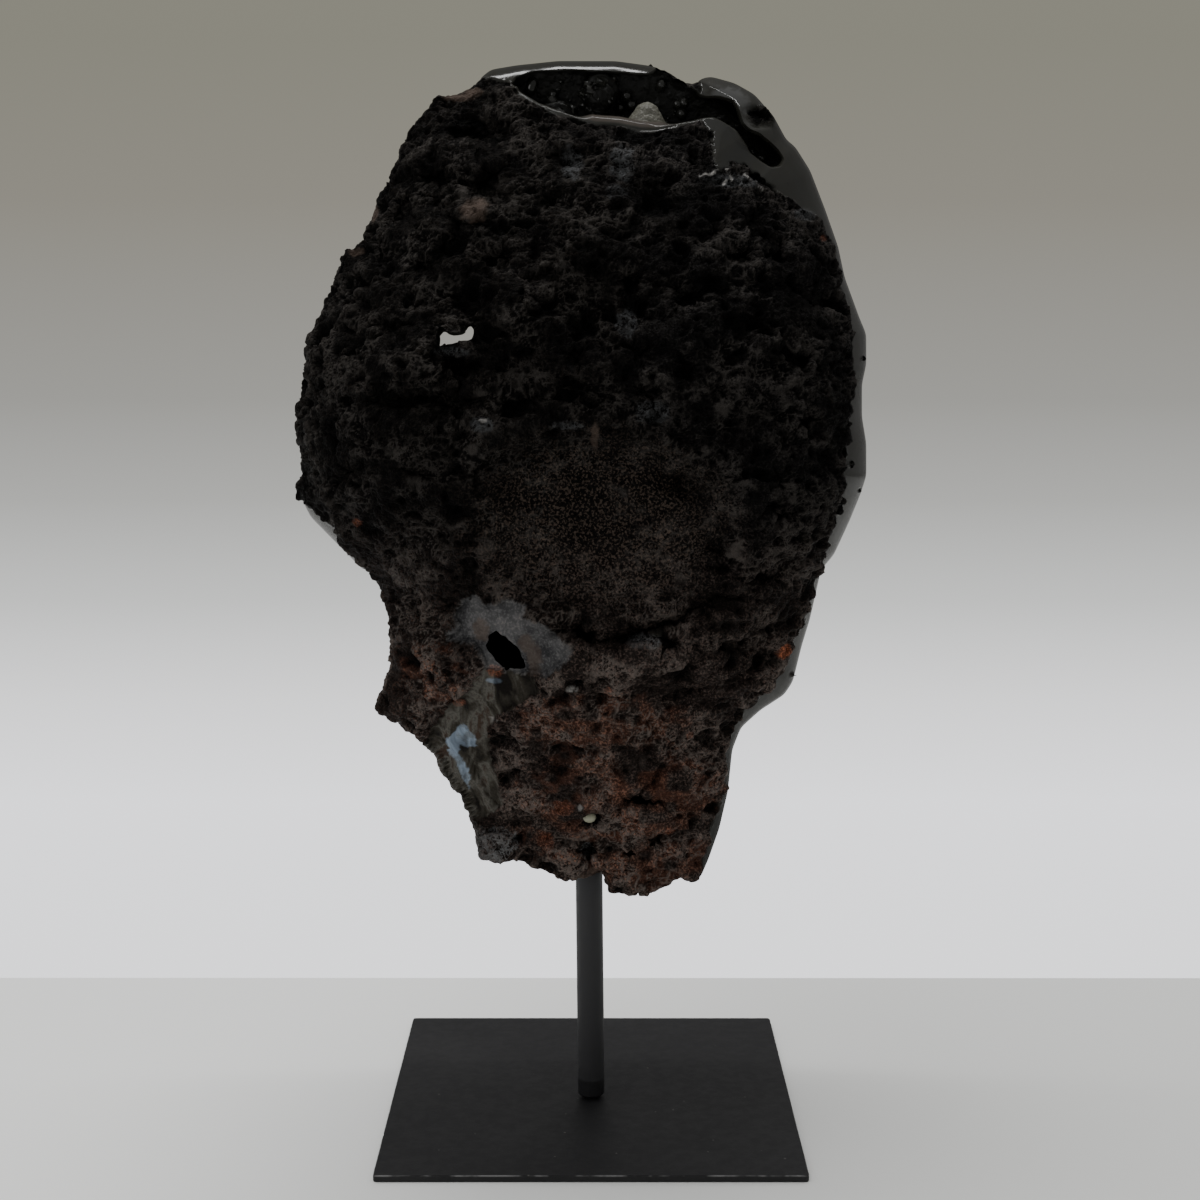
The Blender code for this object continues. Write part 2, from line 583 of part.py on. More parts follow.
def make_adhesive_bead():
    x, z = BEAD_PLACE
    spot = np.array([x]), np.array([z])
    y = float(dome_y(*spot, metres(OUTLINE))[0]) + float(relief(*spot)[0]) - BEAD_PROUD
    bead = bmesh.new()
    bmesh.ops.create_uvsphere(bead, u_segments=12, v_segments=8, radius=0.5)
    socket = bead.copy()
    middle = Matrix.Translation((x, y, z))
    bmesh.ops.transform(bead, matrix=middle @ Matrix.Diagonal((*BEAD_SIZE, 1)), verts=bead.verts)
    size = [side + 2 * GAP for side in BEAD_SIZE]
    bmesh.ops.transform(socket, matrix=middle @ Matrix.Diagonal((*size, 1)), verts=socket.verts)
    return add_object("adhesive_bead", bead, "adhesive", 60), add_object("cutter_bead", socket)


def make_openings():
    """Cutters of the top window, the two holes through the crust, and the sawn face's opening."""
    window = prism(metres(WINDOW), CUTTER_NEAR_Y, WINDOW_DEPTH_Y)
    see_through = prism(metres(SEE_THROUGH), CUTTER_NEAR_Y, HOLE_FAR_Y)
    dark_hole = prism(metres(DARK_HOLE), CUTTER_NEAR_Y, HOLE_FAR_Y)
    front = prism(metres(FRONT_OPENING), FACE_Y - 2.2 * FRONT_WALL, FACE_Y + 4 * MM, 1.07)
    forms = {"window": window, "see_through": see_through, "dark_hole": dark_hole, "front_opening": front}
    return [add_object(f"cutter_{name}", bm) for name, bm in forms.items()]


def make_stone(openings, bead_cutter):
    stone = add_object("stone", stone_blank(), "basalt", 50)
    stone.data.materials.append(surface("agate"))
    hollow = add_object("cutter_hollow", pillow(metres(HOLLOW), HOLLOW_GRID))
    top = SOCKET_TOP - PLATE_THICKNESS
    socket = turned([(ROD_DIAMETER / 2 + GAP, top / 2), (ROD_DIAMETER / 2 + GAP, top)], ROD_SIDES)
    socket_cutter = add_object("cutter_socket", lean_about_foot(socket))
    for cutter in (hollow, *openings, socket_cutter, bead_cutter):
        cut(stone, cutter, "MANIFOLD")
    return stone


def make_crystal_crust(openings):
    """The druse: the hollow's form less a smaller one, whose crystals and stalactites stay standing."""
    crust = add_object("crystal_crust", shrunk(pillow(metres(HOLLOW), HOLLOW_GRID), 2 * GAP), "druse")
    void = add_object("cutter_void", pillow(metres(HOLLOW), DRUSE_GRID, DRUSE_THICKNESS, CRYSTAL_HEIGHT))
    for number, stalactite in enumerate(STALACTITES):
        cut(void, add_object(f"cutter_stalactite_{number}", rounded_rod(*stalactite)), "MANIFOLD")
    for cutter in (void, *openings):
        cut(crust, cutter, "MANIFOLD")
    return crust


def main():
    for old in list(bpy.data.objects):
        bpy.data.objects.remove(old)
    make_base_plate()
    make_base_screw()
    make_rod()
    bead, bead_cutter = make_adhesive_bead()
    openings = make_openings()
    make_stone(openings, bead_cutter)
    make_crystal_crust(openings)


main()
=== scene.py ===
"""Agate geode on a steel rod and plate: the looks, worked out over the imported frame.

The stone's rough basalt side faces -Y and its sawn, polished face +Y; the plate lies on Z = 0.
Every new piece is a surface computed with numpy, in metres, in the frame's own axes.
Places on the stone are (x, z) pairs in millimetres, as seen along +Y.
"""

import math

import bpy
import numpy as np
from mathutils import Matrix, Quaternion, Vector


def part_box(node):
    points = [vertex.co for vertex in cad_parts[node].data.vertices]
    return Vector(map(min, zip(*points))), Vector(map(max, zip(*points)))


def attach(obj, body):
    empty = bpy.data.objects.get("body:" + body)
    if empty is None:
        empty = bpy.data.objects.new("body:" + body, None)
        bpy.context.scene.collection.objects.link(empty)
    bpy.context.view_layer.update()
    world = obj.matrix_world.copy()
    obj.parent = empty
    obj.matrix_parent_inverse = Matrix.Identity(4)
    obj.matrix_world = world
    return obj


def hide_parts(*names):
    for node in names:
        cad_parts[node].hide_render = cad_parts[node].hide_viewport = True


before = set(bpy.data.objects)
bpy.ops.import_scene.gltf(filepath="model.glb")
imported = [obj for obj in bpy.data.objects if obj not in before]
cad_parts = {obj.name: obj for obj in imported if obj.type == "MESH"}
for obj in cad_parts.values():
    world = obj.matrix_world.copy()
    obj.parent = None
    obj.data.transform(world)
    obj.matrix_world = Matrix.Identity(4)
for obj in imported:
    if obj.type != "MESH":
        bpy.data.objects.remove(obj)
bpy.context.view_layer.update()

MM = 0.001
BOX_LOW, BOX_HIGH = (np.array(corner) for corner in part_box("stone"))

# The stone's outline, clockwise from the broken end of its far rim
OUTLINE = [
    (47, 478), (50, 483), (55, 484), (66, 481), (75, 476), (84, 466), (90, 455), (94, 452), (101, 441),
    (108, 423), (114, 406), (117, 392), (124, 373), (127, 366), (127, 352), (125, 343), (125, 328),
    (127, 316), (127, 301), (124, 292), (119, 280), (112, 265), (106, 258), (101, 236), (97, 223),
    (93, 207), (89, 201), (78, 194), (69, 186), (65, 176), (63, 157), (59, 140), (54, 126), (50, 117),
    (40, 118), (34, 114), (30, 111), (8, 110), (6, 120), (-7, 117), (-13, 117), (-27, 123), (-51, 127),
    (-53, 136), (-56, 146), (-60, 153), (-67, 162), (-73, 174), (-80, 182), (-89, 187), (-96, 191),
    (-100, 196), (-96, 205), (-92, 212), (-93, 227), (-93, 238), (-98, 253), (-107, 259), (-119, 271),
    (-130, 282), (-136, 294), (-133, 310), (-136, 322), (-136, 326), (-134, 337), (-131, 359),
    (-126, 375), (-121, 384), (-114, 403), (-106, 406), (-101, 422), (-91, 444), (-83, 461), (-72, 474),
    (-58, 476), (-52, 483), (-47, 487), (-35, 489), (-16, 491), (11, 491), (26, 489), (34, 487),
    (38, 483), (44, 481),
]
# The window at the top: leftwards along the far rim, back along the near rim, round the slot under the knob
WINDOW_LINE = [
    (30, 488), (26, 485), (8, 486), (-12, 487), (-28, 486), (-36, 483), (-38, 479), (-33, 474),
    (-24, 469), (-15, 465), (-6, 462), (1, 460), (13, 459), (22, 457), (28, 457), (36, 459), (44, 461),
    (49, 462), (55, 463), (59, 461), (65, 457), (69, 451), (71, 447), (76, 443), (81, 440), (86, 441),
    (88, 445), (86, 449), (82, 453), (76, 457), (72, 458), (69, 461), (67, 468), (65, 472), (58, 474),
    (52, 474), (48, 476), (47, 478),
]
NEAR_RIM = WINDOW_LINE[7:22]
SEE_THROUGH = [
    (-66.6, 365), (-64.4, 367.3), (-63.2, 366.6), (-61, 365.4), (-58.7, 365.3), (-55.4, 366.1),
    (-55.3, 367.1), (-54.1, 369.1), (-52.7, 369.8), (-50.7, 367.4), (-51.2, 365), (-53.3, 362.7),
    (-58.7, 362.5), (-64, 360.6), (-66.4, 360.6), (-65.7, 363.5),
]
DARK_HOLE = [
    (-45, 235), (-42, 238), (-35, 233), (-31, 230), (-29, 221), (-38, 220), (-43, 225), (-46, 230),
]
FAR_WALL_TOP = [
    (-48, 476), (-36, 482), (-30, 487), (-12, 488), (10, 488), (26, 487), (34, 486), (38, 482),
    (44, 480), (47, 477), (50, 476), (58, 473), (70, 462), (80, 454), (88, 446), (91, 436),
]
FRONT_OPENING = [
    (-38, 428), (-6, 437), (28, 430), (52, 410), (66, 380), (70, 345), (62, 308), (44, 274), (16, 252),
    (-14, 246), (-42, 256), (-64, 284), (-78, 322), (-80, 362), (-64, 402),
]
# The hollow: its sides and foot, and its two tops behind the window
HOLLOW_SIDES = [
    (90, 411), (95.5, 376), (93.4, 331), (85.6, 288), (68.6, 253.6), (43.8, 230), (9.3, 218.6),
    (-29, 216.6), (-55, 229.6), (-74, 254.6), (-91.6, 291), (-99.4, 330), (-95.5, 371), (-83.9, 410),
    (-68, 444),
]
HOLLOW_BACK_TOP = [
    (-46, 465), (-30, 468), (-22, 464.5), (-15, 462), (-6, 459), (1, 457), (13, 456), (25, 454),
    (36, 456), (44, 458), (54, 459.5), (60, 457), (66, 451), (70, 444), (76, 440), (81, 437), (87, 430),
]
HOLLOW_TOP = [(-46, 465), (-20, 471), (30, 469.5), (60, 458), (80.5, 437)]

# Polished agate: right of this line, left of the second one, and on the far rim
POLISH_RIGHT = [
    (49, 462), (54, 456), (58, 443), (69, 441), (82, 430), (94, 423), (105, 413), (111, 399),
    (117, 378), (117, 345), (115, 320), (110, 297), (105, 274), (101, 250), (96, 236), (91, 226),
    (83, 211), (75, 201), (65, 189), (61, 176), (59, 154), (52, 131), (49, 121), (49, 90), (170, 90),
    (170, 520), (49, 520),
]
POLISH_LEFT = [
    (-132, 290), (-124, 285), (-116, 280), (-112, 270), (-104, 261), (-108, 250), (-160, 250),
    (-160, 300),
]
POLISH_RIM = [
    (-56, 500), (-56, 483), (-46, 482.5), (-39, 480), (-36, 477), (-30, 479), (-28, 484), (29, 483),
    (31, 500),
]
# Smooth places of the crust: grey agate round the dark hole, olive agate below it, a pale blue patch on
# that, and the corner at the foot
SLATE = [
    (-64, 235), (-58, 239), (-61, 242), (-56, 250.7), (-50.6, 253), (-46, 248.5), (-41.6, 249.7),
    (-38, 252), (-29.5, 249.5), (-30.5, 243.6), (-22, 242), (-16.8, 237.5), (-8, 229), (-12.5, 224.6),
    (-18.6, 218.8), (-26.7, 219), (-46, 220), (-51, 231), (-63, 232),
]
OLIVE = [
    (-64, 201), (-54, 210), (-47, 222), (-28, 221), (-22.7, 211), (-39, 200), (-46.8, 192.4),
    (-45.8, 177.6), (-42.8, 168.4), (-40, 153), (-52.2, 145), (-62, 146), (-70, 158), (-80, 174),
    (-72, 189),
]
PALE_BLUE = [
    (-66.3, 182.4), (-61.2, 189.3), (-57.3, 193.4), (-54.7, 190.1), (-51.5, 181.9), (-56, 181.4),
    (-60.2, 182), (-60.6, 178), (-57.8, 172.5), (-54.8, 166.9), (-56.2, 160), (-60.2, 166.3),
    (-62.8, 174.4), (-65.3, 177.4),
]
CORNER = [(-53, 141), (-43, 143.5), (-35, 140.5), (-34, 134), (-42, 124), (-56, 124)]
SMOOTH_AREAS = (SLATE, OLIVE)

# Vesicles and hollows of the crust: x, z, half width, half height, depth
PITS = [
    (-68, 433, 6, 5, 9), (-84, 419, 6, 6, 9), (-69, 423, 4, 4, 6), (-60, 408, 4, 3, 6),
    (-92, 400, 4, 3, 4), (-102, 388, 5, 4, 6), (-103, 379, 3, 3, 5), (-106, 366, 5, 3, 6),
    (-88, 366, 6, 5, 7), (-79, 371, 4, 2, 4), (-71, 395, 6, 5, 8), (-58, 455, 7, 4, 8),
    (-45, 435, 5, 4, 7), (-38, 399, 4, 3, 5), (-28, 388, 6, 4, 5), (63, 400, 6, 4, 11),
    (81, 401, 4, 3, 7), (54, 411, 4, 3, 6), (71, 413, 3, 4, 5), (42, 381, 6, 3, 8), (17, 387, 5, 4, 8),
    (21, 357, 7, 3, 6), (25, 340, 6, 3, 10), (40, 353, 3, 4, 5), (91, 356, 4, 3, 7),
    (104, 378, 7, 3, 7), (95, 331, 4, 4, 7), (56, 342, 5, 4, 6), (40, 303, 10, 6, 8),
    (81, 303, 4, 3, 7), (80, 291, 6, 4, 7), (55, 274, 3, 3, 5), (76, 260, 8, 3, 6), (92, 247, 4, 2, 4),
    (73, 226, 3, 2, 4), (67, 218, 5, 3, 4), (81, 213, 3, 3, 4), (-2, 234, 6, 4, 9), (28, 238, 9, 3, 9),
    (-77, 306, 6, 4, 6), (-106, 307, 4, 4, 6), (-60, 249, 4, 3, 6), (22, 157, 8, 3, 6),
    (28, 138, 5, 4, 3), (19, 130, 4, 4, 3), (-23, 150, 3, 3, 4), (44, 212, 3, 3, 4), (-7, 342, 5, 3, 6),
    (-5, 356, 5, 3, 6), (-22, 337, 8, 3, 5), (-69, 337, 26, 4, 9), (-59, 352, 9, 7, 13),
    (-47, 427, 10, 7, 8), (-47, 455, 11, 6, 8),
]
# Raised lumps, given the same way, with a height for the depth
LUMPS = [
    (-52, 420, 9, 9, 6), (-20, 452, 14, 7, 4), (20, 440, 16, 9, 5), (-30, 374, 16, 9, 4),
    (4, 400, 14, 8, 4), (48, 368, 14, 8, 4), (78, 380, 12, 8, 4), (84, 318, 12, 9, 3),
    (-112, 345, 12, 12, 4), (58, 312, 12, 8, 3), (50, 226, 20, 10, 4), (10, 196, 18, 10, 4),
    (-76, 218, 12, 14, 4), (38, 164, 14, 12, 3), (-2, 160, 14, 10, 3), (24, 118, 14, 6, 3),
    (-84, 200, 10, 8, 3),
]
# Small pits in the polished strip, the bead's seat and the shard's hole, given the same way
FINE_PITS = [
    (123.5, 355, 0.9, 1.0, 2.0), (116, 308, 1.0, 0.9, 2.0), (111, 290, 1.1, 3.6, 2.4),
    (123, 295, 0.8, 0.8, 1.6), (92, 211, 0.9, 1.0, 2.0), (75.5, 464.5, 7, 5, 4.5),
    (-2, 131.5, 4.4, 5.0, 9), (104, 378, 3, 1.6, 4), (33, 232, 6, 3, 4), (20, 234, 6, 3, 4),
    (0, 148, 5.0, 4.6, 3.4), (22, 158, 9, 3.2, 5), (28, 138, 5, 3.6, 3.5),
]
KNOB_RIDGE = [(52, 482), (55, 478), (65.5, 472), (70, 464), (73, 457.5)]
SCOOP = (4, 284, 60, 44)
SCOOP_RIDGE = [(-59, 306), (-46, 322), (-14, 331), (10, 327), (30, 322)]
CREASE = [(-12, 238), (0, 232), (14, 233), (28, 239), (42, 244), (56, 252)]
# Spots of colour: x, z, half width, half height
WHITE_SPOTS = [
    (-44.4, 196, 2.3, 1.1), (-8.2, 212.3, 2.6, 1.1), (-5, 155.5, 1.1, 1.5), (-46.5, 329.5, 1.6, 0.8),
    (0.9, 131.6, 0.5, 3.4),
]
BLUE_SPOTS = [(-43.4, 214.9, 3.4, 1.1)]
GREY_SKIN = [
    (26, 333, 6.5, 4.2), (-47.5, 328, 5, 2.6), (11, 428, 4.5, 3.0), (-11, 327.5, 6, 1.8),
    (22.4, 233.6, 7.5, 2.2), (62, 434, 12, 3), (-9, 441, 4.5, 7), (13, 441, 5, 8),
    (-59.6, 358.2, 6.5, 1.8), (96, 420, 5, 3), (-2.6, 132, 1.9, 3.4), (15, 371, 4, 5), (63, 471, 9, 7),
]
# Tan spots; the two at the top-left rim, (-61, 474) and (-55, 476), are tan crust lightened by painted
# highlight where its top edge catches light.
TAN_SPOTS = [
    (-52, 420, 5.5, 5.0), (-48.5, 237.7, 3.4, 4.6), (-28.5, 232.6, 3.6, 3.6), (-25, 226, 3, 6),
    (1.4, 322.5, 1.6, 5.4), (-4, 118.5, 3.0, 2.0), (1.5, 122, 3.2, 1.8), (-61, 474, 6, 2.2),
    (-55, 476, 4, 2.0), (-108, 403, 3.4, 1.6), (-100, 421, 1.8, 4.0),
]
RUST_SPOTS = [
    (87.3, 224.2, 3.2, 2.8), (-59.2, 203, 3.0, 1.8), (7, 212.3, 1.6, 1.2), (105, 409, 1.6, 1.2),
    (44, 188, 1.6, 1.4), (-12.9, 155, 4.6, 3.4), (-20.8, 137.1, 3.4, 4.0), (35.3, 142.5, 2.6, 2.2),
    (-42, 219.4, 3.6, 2.4), (-103.8, 283.3, 2.0, 1.6),
]
RED_AREAS = [
    (25.4, 167.5, 22, 10), (14, 150, 42, 30), (-8, 150, 16, 18), (30, 130, 24, 16), (-70, 216, 14, 12),
    (4, 196, 34, 12),
]
GLASSY_SPOTS = [(58, 449, 3.4, 9.5), (27, 234, 6.0, 2.2)]
# Thin white seams of quartz that branch below the polished tongue
SEAMS = [
    [(57.6, 447.4), (54.6, 443.4), (56.9, 439.5), (53.4, 436.5), (47.7, 435.5)],
    [(60.2, 439.2), (62, 435.8), (63.8, 431)],
    [(62, 435.8), (58, 431.8)],
    [(67.9, 437), (71.7, 434.2), (75.9, 429.9)],
]
GROOVE = [(-55.1, 176.5), (-50.7, 167.5), (-46.3, 158), (-41.7, 153)]

# What colours the crust, and with its polish, hollows and banding all that the stone's finish reads
PATCHES = ("crest", "thread", "slate", "olive", "blue", "rust", "red", "white", "tan", "skin", "dish")
READ = ("polish", "sunk", "band", *PATCHES)
CRUST_PIECES = ("crust_foot", "crust_lower", "crust_upper", "crust_top")

# Driving dimensions of the stone, its relief and its hollow
GRID = 0.5 * MM
LINE_STEP = 0.6 * MM
FACE_Y = 48 * MM
OPENING_SOFTNESS = 9 * MM
CRUST_WRAP = 9 * MM
CREASE_DEPTH = 9 * MM
SCOOP_DEPTH = 9 * MM
SCOOP_RIDGE_HEIGHT = 3.5 * MM
GROOVE_DEPTH = 1.6 * MM
SLATE_DEPTH = 1.3 * MM
RIB_STEP = 2.2 * MM
RIB_HEIGHT = 1.1 * MM
KNOB_RIDGE_HEIGHT = 3.2 * MM
KNOB_RIDGE_WIDTH = 10 * MM
LEDGE_HEIGHT = 7 * MM
LEDGE_END = 12
LEDGE_FADE = 30 * MM
LEAST_PIT = 4.44
DOME_DEPTH = 66 * MM
DOME_MIDDLE = 320 * MM
DOME_SPREAD = 165 * MM
DOME_REACH = 75 * MM
STONE_FOOT = 100 * MM
STONE_RISE = 385 * MM
EDGE_Y_AT_FOOT = -32 * MM
EDGE_Y_AT_TOP = 28 * MM
WALL = 9 * MM
FRONT_WALL = 11 * MM
HOLLOW_ROUND = 26 * MM
WALL_AT_LIP = 3.5 * MM
WALL_LIP_REACH = 24 * MM
DRUSE_THICKNESS = 4.6 * MM
DRUSE_GRID = 1.3 * MM
HOLLOW_WAVES = 1.5 * MM
FAR_BORDER_Y = 26.5 * MM
OPENING_WALL_Y = (36 * MM, 34 * MM)
LIP_ROUND = 2.5 * MM
LIP_WOBBLE = 0.3 * MM
HOLE_SOFTNESS = 0.7 * MM
HOLE_JAG = (0.3, 0.6)

# Borders, in mm: the polished lip of the near rim, and how far and how softly every polished border wanders
RIM_POLISH = 1.2
RIM_POLISH_CHANGE = 0.5
POLISH_SOFTNESS = 1.6
# Layers of noise: height, cell size in mm (or width and height), seed
POLISH_WANDER = [(1.2, (5, 4), 14), (0.8, 2, 15)]
SPOT_EDGE = [(0.5, (2.6, 2.2), 91), (0.35, (1.1, 1), 92)]
AREA_TEETH = [(0.7, 2.3, 71), (0.5, 1, 72)]
OUTLINE_JAG = [(1.1, 4.5, 61), (0.6, 1.8, 62)]
CRUST_SWELL = [(3.4, (34, 21), 5), (2.4, (16, 11), 9)]
GRAIN = [(0.28, 1.5, 88), (0.24, 1.0, 89)]
# The crust's hollows: cell size, depth, steepness, seed; the share of cells with one, and their flatness
HOLLOWS = [(23, 3.6, 1.2, 41), (12, 3.0, 1.4, 51), (6, 1.5, 1.6, 61), (3, 0.6, 1.8, 71)]
HOLLOW_SHARE = 0.6
HOLLOW_FLATNESS = 1.3
SUNK_FILL = 3.6 * MM
# The clumps between them: size and height
CLUMPS = [(12, 1.1), (6.3, 0.8), (3.4, 0.6), (1.9, 0.4)]
CLUMP_LIFT = 1.2
# The side wall: share of the way to the sawn face, and how far in mm the outline is blurred there
SIDE_BLURS = [(0.1, 2.4), (0.55, 7.4), (0.86, 11.7), (1, 14.8)]

# Crystals: how many, what they keep clear of in mm, and how thinly they stand in the top behind the window,
# where the quartz is painted near-black as the hollow's shade
CRYSTALS = 16000
CLEAR_OF_CRYSTALS = [(SEE_THROUGH, 5), (DARK_HOLE, 16), (FAR_WALL_TOP, 6)]
SHADED_TOP_FROM = 450 * MM
SHADED_TOP_SHARE = 0.22

# Stalactites of the hollow: root, tip (x, y, z), radius at the root and near the tip
CREAM_CONE = ((24, 15, 448), (25.4, 12, 470.5), 16.5, 3.0)
STALACTITES = [
    ((4, 28, 477), (3, 13, 471), 7, 4.5),
    ((-16, 27, 466), (-17, 14, 458), 8, 4.5),
    ((-27, 18, 452), (-28, 10, 420), 8, 4.0),
    ((40, 20, 452), (42, 10, 408), 9, 4.0),
    ((-52, 2, 446), (-50, 0, 404), 8, 3.5),
    ((-8, -47, 300), (-10, -16, 290), 11, 4.5),
    ((40, -46, 340), (38, -20, 334), 10, 4.5),
    ((10, -14, 214), (9, -10, 240), 10, 4.5),
]

# Lips and walls of the openings: rows of shift out of the stone, in mm, and share of the way to the hollow
PLAIN_LIP = [
    (0, 0), (0.5, 0.03), (0.9, 0.09), (1.1, 0.2), (1.1, 0.35), (0.9, 0.5), (0.5, 0.68), (-0.4, 0.84),
    (-1.6, 0.95), (-3.2, 1.02),
]
CUT_LIP = [
    (0, 0), (0.6, 0.03), (1.6, 0.1), (2.7, 0.19), (3.7, 0.3), (4.2, 0.42), (3.8, 0.56), (2.2, 0.74),
    (-0.4, 0.92), (-3.2, 1.02),
]
CUT_FROM = -8
CUT_TO = 38
# For each hole its name, its rows, and the rows of a closed end
HOLE_WALLS = [
    ("see_through_hole", [
        (0, 0), (-0.1, 0.03), (-0.4, 0.1), (-1, 0.25), (-1.8, 0.5), (-2.4, 0.75), (-3, 0.95), (-3.6, 1.05),
    ]),
    ("dark_hole", [(0, 0), (-0.1, 0.03), (-0.4, 0.1), (-0.6, 0.3), (-0.6, 0.6), (-0.4, 0.9), (0, 1.05)],
     [0.15, 0.35, 0.6, 0.85, 1.0]),
]
POCKET_DEPTH = 6 * MM

PLATE_SIDE = 190.5 * MM
# The paint's colour from low to high, on the plate and on the rod
PLATE_PAINT = ((0.0080, 0.0080, 0.0088), (0.0115, 0.0115, 0.0126))
ROD_PAINT = ((0.024, 0.024, 0.024), (0.035, 0.035, 0.039))

CAMERA_PLACE = (0.00063, -0.88097, 0.37065)
CAMERA_DOWN, CAMERA_RIGHT, CAMERA_ROLL = (math.radians(angle) for angle in (8.258, 0.209, 0.086))
CAMERA_LENS = 57.16
CAMERA_FILM = 36
FLOOR_REACH = 4.0
WALL_PLACE = 0.167
WALL_TOP = 3
# Lights: name, place, target, size, power, and whether the polish mirrors it
LIGHTS = [
    ("ceiling", (-0.3, 0.35, 1.9), (0, 0, 0.1), (2.2, 1.6), 38, False),
    ("ceiling_strip", (0, 0.2, 1.7), (0, 0, 0.1), (1.5, 0.045), 5.5, True),
    ("front_left", (-1.3, -1.5, 1.1), (0, 0, 0.3), (0.9, 1.1), 6, True),
    ("behind", (0.8, 1.6, 1.5), (0, 0, 0.3), (0.8, 0.6), 6, False),
]


def smooth_step(value):
    t = np.clip(value, 0, 1)
    return t * t * (3 - 2 * t)


def fade(distance, width):
    """0 where a distance starts and 1 from this many mm on, joined by a smooth step."""
    return smooth_step(distance / (width * MM))


def hump(distance, width):
    """1 on a line, and less away from it in a bell this many mm wide."""
    return np.exp(-((distance / (width * MM)) ** 2))


def metres(points):
    return np.array(points, float) * MM


def line_gaps(x, z, line, closed):
    """For each place: the gap to the line's nearest point, that point's index along it, and the point."""
    starts = line if closed else line[:-1]
    along = (np.roll(line, -1, 0) if closed else line[1:]) - starts
    square = np.maximum((along**2).sum(1), 1e-18)
    x, z = np.ravel(x), np.ravel(z)
    gaps, places = np.empty(len(x)), np.empty(len(x))
    block = max(1, 3_000_000 // len(starts))
    for first in range(0, len(x), block):
        near = slice(first, first + block)
        away_x, away_z = x[near, None] - starts[:, 0], z[near, None] - starts[:, 1]
        share = np.clip((away_x * along[:, 0] + away_z * along[:, 1]) / square, 0, 1)
        gap = (away_x - share * along[:, 0]) ** 2 + (away_z - share * along[:, 1]) ** 2
        best = gap.argmin(1)
        row = np.arange(len(best))
        gaps[near] = np.sqrt(gap[row, best])
        places[near] = best + share[row, best]
    return gaps, places, at_index(line, places, closed)


def line_distance(x, z, line, closed=False):
    """Distance in metres to a line given in mm."""
    return line_gaps(x, z, metres(line), closed)[0].reshape(np.shape(x))


def inside_distance(x, z, outline):
    """Distance in metres to a closed outline given in mm, positive inside it."""
    x, z = np.asarray(x, float), np.asarray(z, float)
    corners = metres(outline)
    inside = np.zeros(x.shape, bool)
    for start, end in zip(corners, np.roll(corners, -1, 0)):
        if start[1] != end[1]:
            crosses = (start[1] > z) != (end[1] > z)
            inside ^= crosses & (x < start[0] + (z - start[1]) / (end[1] - start[1]) * (end[0] - start[0]))
    gaps = line_distance(x, z, outline, closed=True)
    return np.where(inside, gaps, -gaps)


def at_index(line, places, closed=True):
    """The line's values at fractional places along its points."""
    low = np.floor(places).astype(int)
    share = (places - low).reshape(-1, *[1] * (line.ndim - 1))
    if closed:
        return line[low % len(line)] * (1 - share) + line[(low + 1) % len(line)] * share
    low = np.clip(low, 0, len(line) - 1)
    return line[low] * (1 - share) + line[np.clip(low + 1, 0, len(line) - 1)] * share


def resampled(line, step, closed):
    """The line with a place every step of its length."""
    if closed:
        line = np.vstack([line, line[:1]])
    length = np.r_[0, np.cumsum(np.linalg.norm(np.diff(line, axis=0), axis=1))]
    count = int(round(length[-1] / step))
    spots = np.linspace(0, length[-1], count + 1)[: count if closed else None]
    return np.stack([np.interp(spots, length, line[:, 0]), np.interp(spots, length, line[:, 1])], -1)


def softened(line, width, closed=True):
    """The evenly spaced line, averaged with its neighbours as often as a blur of this width takes."""
    step = np.linalg.norm(line[1] - line[0])
    for _ in range(int(round(2 * (width / step) ** 2))):
        after = (np.roll(line, 1, 0) + 2 * line + np.roll(line, -1, 0)) / 4
        if not closed:
            after[[0, -1]] = line[[0, -1]]
        line = after
    return line


def curve(points, softness, closed=True):
    return softened(resampled(metres(points), LINE_STEP, closed), softness, closed)


def outwards(line, closed=True):
    """Unit vectors square to the line, on its left: out of the stone, which lies right of its lines."""
    if closed:
        along = np.roll(line, -1, 0) - np.roll(line, 1, 0)
    else:
        along = np.gradient(line, axis=0)
    along /= np.maximum(np.linalg.norm(along, axis=1), 1e-12)[:, None]
    return np.stack([-along[:, 1], along[:, 0]], -1)


def scrambled(number):
    """A fixed random number from 0 to 1 for each whole number: its bits multiplied and folded."""
    number = number & 0xFFFFFFFF
    number = ((number ^ (number >> 13)) * 1274126177) & 0xFFFFFFFF
    return (number ^ (number >> 16)) / 0xFFFFFFFF


def random_in(cells, seed):
    """A fixed random number from 0 to 1 for each cell of a lattice, given by two or three whole numbers."""
    axes = zip(np.moveaxis(cells, -1, 0), (374761393, 668265263, 1442695041))
    return scrambled(sum(place * factor for place, factor in axes) + seed * 974634777)


def lattice_noise(x, z, size, seed):
    """Random numbers from -1 to 1 on a lattice of cells of this size in mm (or width and height), joined by
    smooth steps."""
    scaled = np.stack([x, z], -1) / (np.broadcast_to(size, 2) * MM)
    home = np.floor(scaled).astype(np.int64)
    share = smooth_step(scaled - home)
    total = 0
    for corner in np.ndindex(2, 2):
        corner = np.array(corner)
        total = total + np.where(corner, share, 1 - share).prod(-1) * random_in(home + corner, seed)
    return 2 * total - 1


def layered_noise(x, z, layers):
    """Noise of several sizes added up; each layer is a height, a cell size in mm and a seed."""
    return sum(height * lattice_noise(x, z, size, seed) for height, size, seed in layers)


def solid_noise(places, size, seed):
    """Random numbers from -1 to 1 at the corners of a lattice in space, of this size in mm."""
    scaled = places / (size * MM)
    home = np.floor(scaled).astype(np.int64)
    share = smooth_step(scaled - home)
    total = np.zeros(len(places))
    for corner in np.ndindex(2, 2, 2):
        corner = np.array(corner)
        total += np.where(corner, share, 1 - share).prod(-1) * random_in(home + corner, seed)
    return 2 * total - 1


